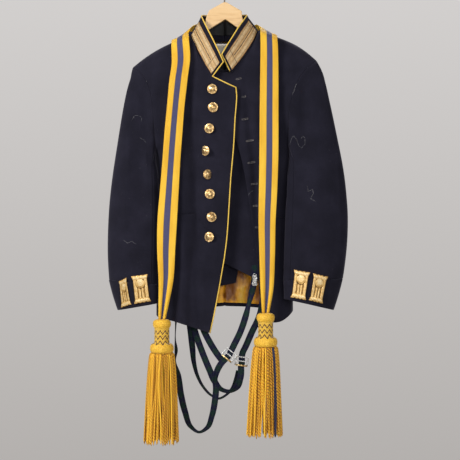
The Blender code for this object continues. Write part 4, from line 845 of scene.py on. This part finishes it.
# The fringe: about a hundred two-ply cords under each knob, mostly yellow with a few of dark
# blue within, a little uneven in length. The outer ones hang loose and part here and there.
FRINGE_RINGS = ((26.5, 50, 1.58), (19.0, 34, 1.62), (10.0, 18, 1.8))
FRINGE_FLATNESS = 0.80
FRINGE_ROOT = -81.0
FRINGE_FOOT = {"right": -1159.0, "left": -1142.0}
FRINGE_UNEVEN = 11.0
FRINGE_DRIFT = 2.2
CORD_BOW = 2.1
CORD_STRAY = 3.0
FRINGE_SEEDS = {"right": 7, "left": 8}
CORD_RADIUS = 1.75
CORD_STEPS = (6, 44)
CORD_TIP = 0.25
BLUE_CORDS = {"right": ((0, 12), (0, 18), (1, 10), (2, 4)),
              "left": ((0, 42), (0, 43), (0, 15), (1, 9), (2, 4))}
TWIST_PITCH = 7.5


def fringe_material(name, *shades):
    """Two-ply cord: slanting plies along each cord, and a tint of its own for every cord."""
    ply = Finish(name, roughness=0.65, Sheen_Weight=0.1, Sheen_Roughness=0.4)
    _, across, along = ply.chart()
    own = ply.add("TexWhiteNoise", {"W": ply.maths("FLOOR", across)},
                  noise_dimensions="1D").outputs[0]
    plies = ply.maths("PINGPONG", ply.sum((across, 2.0), (along, 1.0), (own, 7.0)), 0.5)
    fibres = ply.noise(ply.place(stretch=(1, 1, 0.4)), 800, 2)
    ply.colour(ply.ramp(ply.sum((plies, 0.75), (own, 0.34), (fibres, 0.24)),
                        *zip((0.24, 0.48, 0.84), shades)))
    ply.relief(plies, 0.0011)
    return ply


yellow_cords = fringe_material("yellow fringe cords", (0.13, 0.038, 0.002), (0.92, 0.43, 0.012),
                               (1.0, 0.72, 0.06))
blue_cords = fringe_material("dark blue fringe cords", (0.006, 0.006, 0.02),
                             (0.018, 0.02, 0.06), (0.05, 0.055, 0.13))


def cord_tube(skin, chart, points, radius, steps, number, dye=0):
    """Add one cord along points in millimetres; its U map starts at the cord's number."""
    sides, along = steps
    spots = grid_in(skin, sides, along)
    points = np.asarray(points)
    heading = unit(np.gradient(points, axis=0))
    first = unit(np.cross(heading, (0.0, 1.0, 0.02)))
    second = np.cross(heading, first)
    lengths = travelled(points)
    for corner, (u, row) in spots.items():
        turn = 2 * math.pi * u
        size = radius * (CORD_TIP if row in (0, along) else 1.0)
        corner.co = Vector(points[row] + size * (first[row] * math.cos(turn)
                                                 + second[row] * math.sin(turn))) / 1000
    for face in {face for corner in spots for face in corner.link_faces}:
        face.material_index = dye
        for turn in face.loops:
            u, row = spots[turn.vert]
            turn[chart].uv = (number + 0.001 + 0.998 * u, lengths[row] / TWIST_PITCH)


shares = np.linspace(0, 1, CORD_STEPS[1] + 1)
for side, (x, y, top) in TASSEL_PLACES.items():
    chance = np.random.default_rng(FRINGE_SEEDS[side])
    fringe = bmesh.new()
    chart = fringe.loops.layers.uv.new("chart")
    number = 0
    for ring, (radius, count, spread) in enumerate(FRINGE_RINGS):
        for k in range(count):
            angle = 2 * math.pi * (k + 0.35 * chance.random()) / count
            foot = FRINGE_FOOT[side] + FRINGE_UNEVEN * chance.random() * (1 + ring) / 2
            reach = radius * (1 + (spread - 1) * (0.85 * shares ** 0.45 + 0.15 * shares)
                              + 0.05 * chance.normal() * shares)
            sway = CORD_BOW * chance.normal() * np.sin(math.pi * shares * (1 + chance.random()))
            sway = sway + CORD_STRAY * chance.normal() * shares ** 2
            line = np.stack([
                x + reach * math.cos(angle) - sway * math.sin(angle) - FRINGE_DRIFT * shares,
                y + FRINGE_FLATNESS * (reach * math.sin(angle) + sway * math.cos(angle)),
                top + FRINGE_ROOT + (foot - top - FRINGE_ROOT) * shares], axis=1)
            dye = 1 if (ring, k) in BLUE_CORDS[side] else 0
            cord_tube(fringe, chart, line, CORD_RADIUS, CORD_STEPS, number, dye)
            number += 1
    cords = piece_from(sealed(fringe), "tassel_cords_" + side, yellow_cords,
                       ["tassel_fringe_" + side])
    cords.data.materials.append(blue_cords.material)


# The buttons: stamped gilt domes with a raised rim, a corded ring inside it and a plain star
# in the middle, each sewn on through a shank behind.
BUTTON_FACE = ((12.0, 0.6), (12.3, 1.4), (12.0, 2.3), (11.4, 2.75), (10.8, 2.7), (10.4, 2.5),
               (9.9, 2.95), (9.4, 3.25), (8.8, 3.3), (8.3, 3.35), (7.2, 4.3), (6.0, 5.1),
               (4.8, 5.75), (3.6, 6.25), (2.4, 6.6), (1.2, 6.8))
BUTTON_TURNS = 60
BUTTON_TILTS = {3: -12, 4: -34, 5: 30, 7: 12, 8: -18}
TILT_SINKS = 0.05
CORDED_RING = (8.5, 10.2, 30, 0.22)
STAR = (7.3, 5, 0.45)
STAR_LEAN = 0.35

gilt = Finish("stamped gilt", roughness=0.34, metallic=0.9)
tarnish = gilt.noise(gilt.place(), 240, 4, 0.65)
gilt.colour(gilt.ramp(tarnish, (0.34, (0.22, 0.11, 0.035)), (0.5, (0.72, 0.46, 0.19)),
                      (0.68, (1.0, 0.76, 0.42))))
gilt.rough(gilt.ramp(tarnish, (0.3, (0.55, 0.55, 0.55)), (0.7, (0.28, 0.28, 0.28))))
gilt.relief(tarnish, 0.0002)

inner, outer, notches, notch_depth = CORDED_RING
star_radius, rays, ray_height = STAR
for number in range(1, 9):
    low, high = (Vector(corner) * 1000 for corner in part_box(f"button_{number}"))
    middle = (low + high) / 2
    dome = bmesh.new()
    lean = STAR_LEAN * number
    for corner, (u, row) in grid_in(dome, BUTTON_TURNS, len(BUTTON_FACE) - 1).items():
        turn = 2 * math.pi * u
        radius, height = BUTTON_FACE[row]
        if inner < radius < outer:
            height += notch_depth * math.cos(notches * turn)
        if radius < star_radius:
            ray = max(0.0, math.cos(rays * (turn + lean)))
            height += ray_height * ray * math.sin(radius / star_radius * math.pi)
        corner.co = Vector((radius * math.cos(turn), -height, radius * math.sin(turn))) / 1000
    tilt = BUTTON_TILTS.get(number, 0)
    sewn_at = Vector((middle.x, high.y - abs(tilt) * TILT_SINKS, middle.z)) / 1000
    dome.transform(Matrix.Translation(sewn_at) @ Matrix.Rotation(math.radians(tilt), 4, "Z"))
    dented(sealed(dome), FRONT_CREASES["right"], 1)
    piece_from(dome, f"gilt_button_{number}", gilt, [f"button_{number}"])


# The buttonholes of the left front: slanting slits worked round with dark thread, level with the
# buttons that they take. The thread's paler grey-brown flecks are a painted highlight.
HOLES = ((35, -262, 13, -14), (48, -306, 10, -8), (51, -361, 16, -14), (63, -414, 19, -12),
         (67, -468, 19, -10), (74, -521, 16, -6), (79, -575, 16, -6), (84, -628, 16, -6))
HOLE_HALF_WIDTH = 1.5
HOLE_THREAD = 0.55
STITCHES = 44
STITCH_RISE = 0.18
HOLE_LIFT = 0.25
IN_FRONT_OF_ALL = -0.4

# The thread's colour: dark, with paler grey-brown flecks that are a painted highlight on the
# stitches.
thread_with_painted_highlight = mottled("buttonhole thread with painted highlight", 300, 3, (0.35, (0.03, 0.028, 0.035)),
                 (0.52, (0.11, 0.095, 0.09)), (0.66, (0.34, 0.29, 0.25)), roughness=0.6,
                 Sheen_Weight=0.4)


def surface_of(thing):
    """A finished piece's surface, to lay things on."""
    return BVHTree.FromObject(thing, bpy.context.evaluated_depsgraph_get())


def in_front(surface, x, z):
    """The point of a surface that shows at x and z, in millimetres, from the front."""
    hit = surface.ray_cast(Vector((x / 1000, IN_FRONT_OF_ALL, z / 1000)), Vector((0, 1, 0)))[0]
    return None if hit is None else np.array(hit) * 1000


bpy.context.view_layer.update()
left_cloth = surface_of(cloths["left_front"])
stitching = bmesh.new()
chart = stitching.loops.layers.uv.new("chart")
for number, (x, z, length, lean) in enumerate(HOLES):
    along_hole = np.array((math.cos(math.radians(lean)), -math.sin(math.radians(lean))))
    up_hole = np.array((-along_hole[1], along_hole[0]))
    loop_line = []
    for step in range(STITCHES + 1):
        turn = 2 * math.pi * step / STITCHES
        shift = along_hole * math.cos(turn) * length / 2 + up_hole * (
            HOLE_HALF_WIDTH * math.copysign(min(1.0, 2.2 * abs(math.sin(turn))), math.sin(turn)))
        point = in_front(left_cloth, x + shift[0], z + shift[1])
        if point is not None:
            loop_line.append(point + (0, STITCH_RISE * (step % 2) - HOLE_LIFT, 0))
    cord_tube(stitching, chart, loop_line, HOLE_THREAD, (5, len(loop_line) - 1), number)
piece_from(sealed(stitching, ends=False), "buttonhole_stitches", thread_with_painted_highlight)


# The cuff tabs: four tabs of padded gold embroidery with a drawn-in waist, a corded band along
# the top and bottom, upright bars between them and a round boss, each sewn flat to its cuff.
TABS = {
    "right_outer": (-261, -762, -241, -752, -229, -818, -256, -827),
    "right_inner": (-230, -749, -188, -743, -180, -810, -222, -817),
    "left_inner": (211, -739, 170, -732, 162, -800, 200, -807),
    "left_outer": (256, -750, 217, -741, 207, -807, 242, -816),
}
TAB_STEPS = (54, 84)
TAB_PINCH = 0.09
TAB_FLARE = 2.4
TAB_LIFT = 0.4
TAB_PADDING = 0.5
TAB_THICKNESS = 0.0006
TAB_BAND = (0.09, 0.065, 0.5)
TAB_RIBS = 9
BOSS = (0.5, 0.31, 0.31)
BOSS_TALLNESS = 1.9
BOSS_RISE = (0.45, 0.5, 0.42)
SLOT = (0.23, 0.055, 0.85)
STEM = (0.026, 1.3)


def tab_relief(across, down):
    """How far the plate stands up at a share of its width and height, in millimetres."""
    edge = min(across, 1 - across, down * 1.6, (1 - down) * 1.6)
    height = TAB_PADDING * min(1.0, edge * 16)
    middle, half_width, rise = TAB_BAND
    band = min(abs(down - middle), abs(down - (1 - middle)))
    if band < half_width:
        return height + rise * math.cos(band / half_width * math.pi / 2) + 0.2 * math.cos(
            across * 2 * math.pi * TAB_RIBS)
    below = (down - BOSS[1]) * BOSS_TALLNESS / BOSS[2]
    reach = math.hypot((across - BOSS[0]) / BOSS[2], below)
    if reach < 1:
        foot, dome, tip = BOSS_RISE
        return foot + dome * math.sqrt(1 - reach * reach) - tip * below + 0.1 * math.cos(reach * 13)
    height += 0.25 + 0.12 * math.cos((across - 0.5) * 2 * math.pi * TAB_RIBS)
    height -= SLOT[2] * math.exp(-((abs(across - 0.5) - SLOT[0]) / SLOT[1]) ** 2)
    height -= STEM[1] * math.exp(-((across - 0.5) / STEM[0]) ** 2)
    shadow = 0.5 + 0.4 * within(below, -1, 1)
    return height - shadow * math.exp(-((reach - 1.08) / 0.1) ** 2)


# The embroidery's colour follows its height: painted shade in the slots, round the boss and under
# it, and a painted highlight on the raised parts.
embroidery = Finish("gold embroidery", roughness=0.42, metallic=0.45, Specular_IOR_Level=0.4)
tab_wear = embroidery.noise(embroidery.place(), 170, 4, 0.8)
height_for_painted_light = embroidery.add("Attribute", attribute_name="rise").outputs["Fac"]
embroidery.colour(embroidery.ramp(embroidery.sum((height_for_painted_light, 0.66), (tab_wear, 0.54)),
                                  (0.32, (0.035, 0.018, 0.006)), (0.46, (0.33, 0.17, 0.038)),
                                  (0.61, (0.76, 0.47, 0.155)), (0.84, (1.0, 0.83, 0.50))))
embroidery.relief(tab_wear, 0.0003)
for name, corners in TABS.items():
    top_a, top_b, foot_b, foot_a = (np.array(corners[i:i + 2], dtype=float) for i in (0, 2, 4, 6))
    carrier = surface_of(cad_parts["cuff_tab_" + name])
    plate = bmesh.new()
    rise = plate.verts.layers.float.new("rise")
    made = bmesh.ops.create_grid(plate, x_segments=TAB_STEPS[0], y_segments=TAB_STEPS[1],
                                 size=0.5)["verts"]
    spots, seen = [], []
    for corner in made:
        across, down = corner.co.x + 0.5, corner.co.y + 0.5
        drawn_in = TAB_PINCH * min(1.0, TAB_FLARE * math.sin(math.pi * down))
        waist = 0.5 + (across - 0.5) * (1 - 2 * drawn_in)
        flat_x, flat_z = (top_a * (1 - down) + foot_a * down) * (1 - waist) + (
            top_b * (1 - down) + foot_b * down) * waist
        spots.append((corner, tab_relief(across, down), flat_x, flat_z))
        landed = in_front(carrier, flat_x, flat_z)
        if landed is not None:
            seen.append((flat_x, flat_z, landed[1]))
    seen = np.array(seen)
    lay = np.column_stack([seen[:, 0] ** 2, seen[:, 0], seen[:, 1], np.ones(len(seen))])
    lean = np.linalg.lstsq(lay, seen[:, 2], rcond=None)[0]
    for corner, up, flat_x, flat_z in spots:
        y = float(np.dot((flat_x ** 2, flat_x, flat_z, 1.0), lean)) - TAB_LIFT
        corner.co = Vector((flat_x, y - up, flat_z)) / 1000
        # The height is kept for the colour, which paints shade and highlight on the relief.
        corner[rise] = within((up + 0.5) / 2.2)
    bmesh.ops.recalc_face_normals(plate, faces=plate.faces[:])
    tab = piece_from(plate, "cuff_plate_" + name, embroidery,
                     ["cuff_tab_" + name])
    thickened(tab, TAB_THICKNESS)


# The braces: six lengths of webbing woven in a dark tartan of green and navy with paler lines,
# hung in loops from inside the tunic. A strap is the points of its middle line, in millimetres,
# and its turn there in degrees.
STRAPS = {
    1: ((-126, -23.5, -640, 0), (-130, -23.5, -739, 0), (-126, -23, -809, 30),
        (-121, -21, -853, 70), (-122, -20, -908, 80), (-120, -20, -933, 60), (-122, -20, -957, 80),
        (-115, -20, -995, 30), (-108, -20, -1044, 10), (-98, -20, -1086, 20),
        (-83, -20, -1124, 45), (-63, -20, -1137, 60), (-43, -20, -1126, 45), (-31, -21, -1096, 30),
        (-23.5, -23, -1057, 15), (-21, -25, -1027, 20), (-23.5, -26, -1007, 40),
        (-18.5, -22, -985, 20), (-8.6, -19.5, -967, 0), (12, -19.7, -946, 0)),
    2: ((-72, -23.5, -660, 0), (-70, -23.5, -729, 0), (-63, -23, -809, 0), (-53, -20, -880, 0),
        (-36, -16, -915, 0), (-21, -12, -940, 0), (-8.6, -11, -957, 0)),
    3: ((76, -23.5, -722, 0), (73, -23.5, -769, 0), (68, -23.5, -789, 0), (61, -23, -816, 50),
        (53, -21, -848, 20), (38.6, -20, -890, 0), (24, -19.5, -920, 0), (10, -19.2, -949, 0)),
    4: ((99, -23.5, -735, 0), (98, -23.5, -774, 0), (86, -18, -851, 0), (68, -12, -890, 0),
        (53, -8, -925, 0), (45, -7.7, -942, 0), (43, -7.9, -970, 0)),
    5: ((-89, -23.5, -650, 0), (-91, -23.5, -724, 0), (-86, -18, -809, 0), (-75.5, -10, -880, 0),
        (-56, -8, -938, 0), (-38, -8, -982, 0), (-23.5, -8, -1014, 15), (-8.6, -8, -1032, 40),
        (14, -8, -1037, 50), (31, -8, -1027, 25), (40, -8, -1002, 0), (41.5, -7.7, -969, 0)),
    6: ((-108, -23.5, -640, 0), (-108, -23.5, -719, 0), (-97, -8, -809, 0), (-86, 2, -878, 0),
        (-80.5, 3, -928, 20), (-77, 6, -965, 45), (-68, 8, -1000, 58), (-53, 10, -1029, 64),
        (-33, 11, -1050, 66), (-16, 11, -1058, 66), (4, 11, -1049, 66), (19, 11, -1032, 62),
        (29, 9, -1007, 55), (36, 4, -987, 30)),
}
STRAP_LENGTHS = {1: 0.72, 2: 0.31, 3: 0.23, 4: 0.23, 5: 0.50, 6: 0.54}
STRAP_HALF_WIDTH = 8.0
STRAP_THICKNESS = 0.0012
STRAP_STEPS = 10
STRAP_EVERY = 2.2
SETT = 0.028
TARTAN_GREENS = ((0.005, 0.019, 0.016), (0.005, 0.021, 0.015))
TARTAN_NAVIES = ((0.006, 0.006, 0.022), (0.006, 0.006, 0.026))
TARTAN_PALE = (0.05, 0.045, 0.06)

tartan = Finish("tartan webbing", roughness=0.85, Specular_IOR_Level=0.15)
_, across, along = tartan.chart()


def stripe(where, start, end):
    """A stripe of the webbing's pattern, between two shares of its repeat."""
    return tartan.maths("COMPARE", where, (start + end) / 2, (end - start) / 2)


repeat = tartan.maths("FRACT", along)
ground = tartan.mix(tartan.sum((stripe(across, 0.0, 0.30), 1.0), (stripe(across, 0.70, 1.0), 1.0)),
                    TARTAN_GREENS[0], TARTAN_NAVIES[0])
for line, weight, dye in ((stripe(repeat, 0.05, 0.38), 0.75, TARTAN_GREENS[1]),
                          (stripe(repeat, 0.55, 0.88), 0.75, TARTAN_NAVIES[1]),
                          (stripe(across, 0.485, 0.515), 0.55, TARTAN_PALE),
                          (stripe(repeat, 0.46, 0.475), 0.55, TARTAN_PALE),
                          (stripe(repeat, 0.955, 0.97), 0.55, TARTAN_PALE)):
    ground = tartan.mix(tartan.sum((line, weight)), ground, dye)
weft = tartan.noise(tartan.place(), 1100, 2)
tartan.colour(tartan.mix(weft, ground, (0.004, 0.005, 0.007), "ADD"))
tartan.relief(weft, 0.0005)

for number, line in STRAPS.items():
    line = np.array(line, dtype=float)
    heading = unit(np.gradient(line[:, :3], axis=0))
    across = unit(np.cross(heading, (0.0, 1.0, 0.0)))
    facing = np.cross(heading, across)
    turn = np.radians(line[:, 3])[:, None]
    reach = STRAP_HALF_WIDTH * (across * np.cos(turn) + facing * np.sin(turn))
    rows = np.hstack([line[:, :3] - reach, line[:, :3] + reach])
    steps = round(STRAP_LENGTHS[number] * 1000 / STRAP_EVERY)
    band = ribbon(rows, (STRAP_STEPS, steps), lambda u, v: 0.0)
    chart = band.loops.layers.uv.active
    for face in band.faces:
        for spot in face.loops:
            spot[chart].uv.y *= STRAP_LENGTHS[number] / SETT
    strap = piece_from(band, f"webbing_{number}", tartan, [f"brace_{number}"])
    thickened(strap, STRAP_THICKNESS)


# The fittings of the braces: two slide buckles of white metal, each an open frame with a gilt
# crossbar that the straps go round, and a plain spring clip that grips the lining's edge.
BUCKLE_PLACES = {1: (12.0, -22.7, -946.0, 40.0), 2: (43.0, -10.9, -962.0, 8.0)}
BUCKLE_ROUNDING = 0.0005
CLIP_WIRE = 0.8
CLIP_LOOPS = ((75, -27.2, -750.5, 5.6, 7.0), (75, -27.0, -768.5, 6.4, 4.4))
GILT_BAR = (0.0021, 0.030, 0.0104)

steel = mottled("white metal", 300, 3, (0.35, (0.48, 0.48, 0.47)), (0.6, (0.66, 0.65, 0.63)),
                roughness=0.3, metallic=0.95)
gilt_bar = mottled("gilt bar", 300, 3, (0.35, (0.55, 0.36, 0.12)), (0.6, (0.92, 0.70, 0.34)),
                   roughness=0.35, metallic=0.9)
dull_metal = mottled("dull clip metal", 260, 3, (0.35, (0.10, 0.10, 0.10)),
                     (0.62, (0.42, 0.41, 0.39)), roughness=0.4, metallic=0.9)

for number, (x, y, z, turn) in BUCKLE_PLACES.items():
    plate = rounded_over(f"brace_buckle_{number}", BUCKLE_ROUNDING, 2)
    piece_from(plate, f"slide_buckle_{number}", steel,
               [f"brace_buckle_{number}"], smooth=False)
    thickness, length, drop = GILT_BAR
    crossbar = bmesh.new()
    bmesh.ops.create_cone(
        crossbar, cap_ends=True, segments=18, radius1=thickness, radius2=thickness, depth=length,
        matrix=Matrix.Translation((x / 1000, y / 1000, z / 1000))
        @ Matrix.Rotation(math.radians(turn), 4, "Y")
        @ Matrix.Translation((0, 0, -drop)) @ Matrix.Rotation(math.pi / 2, 4, "Y"))
    piece_from(crossbar, f"buckle_bars_{number}", gilt_bar)

clip = rounded_over("brace_clip", BUCKLE_ROUNDING, 2, sharp=0)
piece_from(clip, "spring_clip", dull_metal, ["brace_clip"], smooth=False)

wires = bmesh.new()
chart = wires.loops.layers.uv.new("chart")
for number, (x, y, z, half_wide, half_high) in enumerate(CLIP_LOOPS):
    turns = np.linspace(0, 2 * math.pi, 33)
    ring = np.stack([x + half_wide * np.cos(turns), np.full(len(turns), y),
                     z + half_high * np.sin(turns)], axis=1)
    cord_tube(wires, chart, ring, CLIP_WIRE, (6, 32), number)
piece_from(sealed(wires, ends=False), "clip_wires", steel)


# Stray threads: a few curls of pale lint and loose ends that cling to the wool's nap. Their
# routes are marked in the photo's pixels, of 2.5 mm, and laid on the cloth behind.
THREADS = (
    ("left_top_sleeve", ((289, 146), (291, 139), (293, 137), (296, 141), (298, 147), (301, 149),
                         (304, 145), (304, 139), (302, 137), (300, 140))),
    ("left_top_sleeve", ((306, 186), (307, 192), (311, 190), (312, 194), (309, 199), (314, 202))),
    ("right_top_sleeve", ((133, 121), (136, 117), (140, 117), (143, 119), (142, 123))),
    ("right_top_sleeve", ((125, 240), (129, 243), (133, 241), (138, 244))),
    ("right_top_sleeve", ((141, 139), (145, 141), (147, 144))),
    ("left_front", ((248, 196), (250, 193), (253, 191))),
)
THREAD_RADIUS = 0.24
THREAD_LIFT = 0.3
PIXEL = 2.5
PHOTO_MIDDLE = np.array((230, 230))
VIEW_MIDDLE = np.array((13.75, -635.0))

lint = mottled("pale lint", 400, 2, (0.42, (0.05, 0.05, 0.06)), (0.62, (0.34, 0.33, 0.34)),
               roughness=0.9)
threads = bmesh.new()
chart = threads.loops.layers.uv.new("chart")
for number, (carrier, marks) in enumerate(THREADS):
    nap = surface_of(cloths[carrier])
    places = VIEW_MIDDLE + (np.array(marks) - PHOTO_MIDDLE) * (PIXEL, -PIXEL)
    even = np.linspace(0, len(places) - 1, 6 * len(places))
    route = (np.interp(even, range(len(places)), axis) for axis in places.T)
    landed = [in_front(nap, x, z) for x, z in zip(*route)]
    line = np.array([point - (0, THREAD_LIFT, 0) for point in landed if point is not None])
    cord_tube(threads, chart, line, THREAD_RADIUS, (4, len(line) - 1), number)
piece_from(sealed(threads, ends=False), "stray_threads", lint)


size = {"cad": cad_box, "visual": [list(corner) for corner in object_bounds()]}
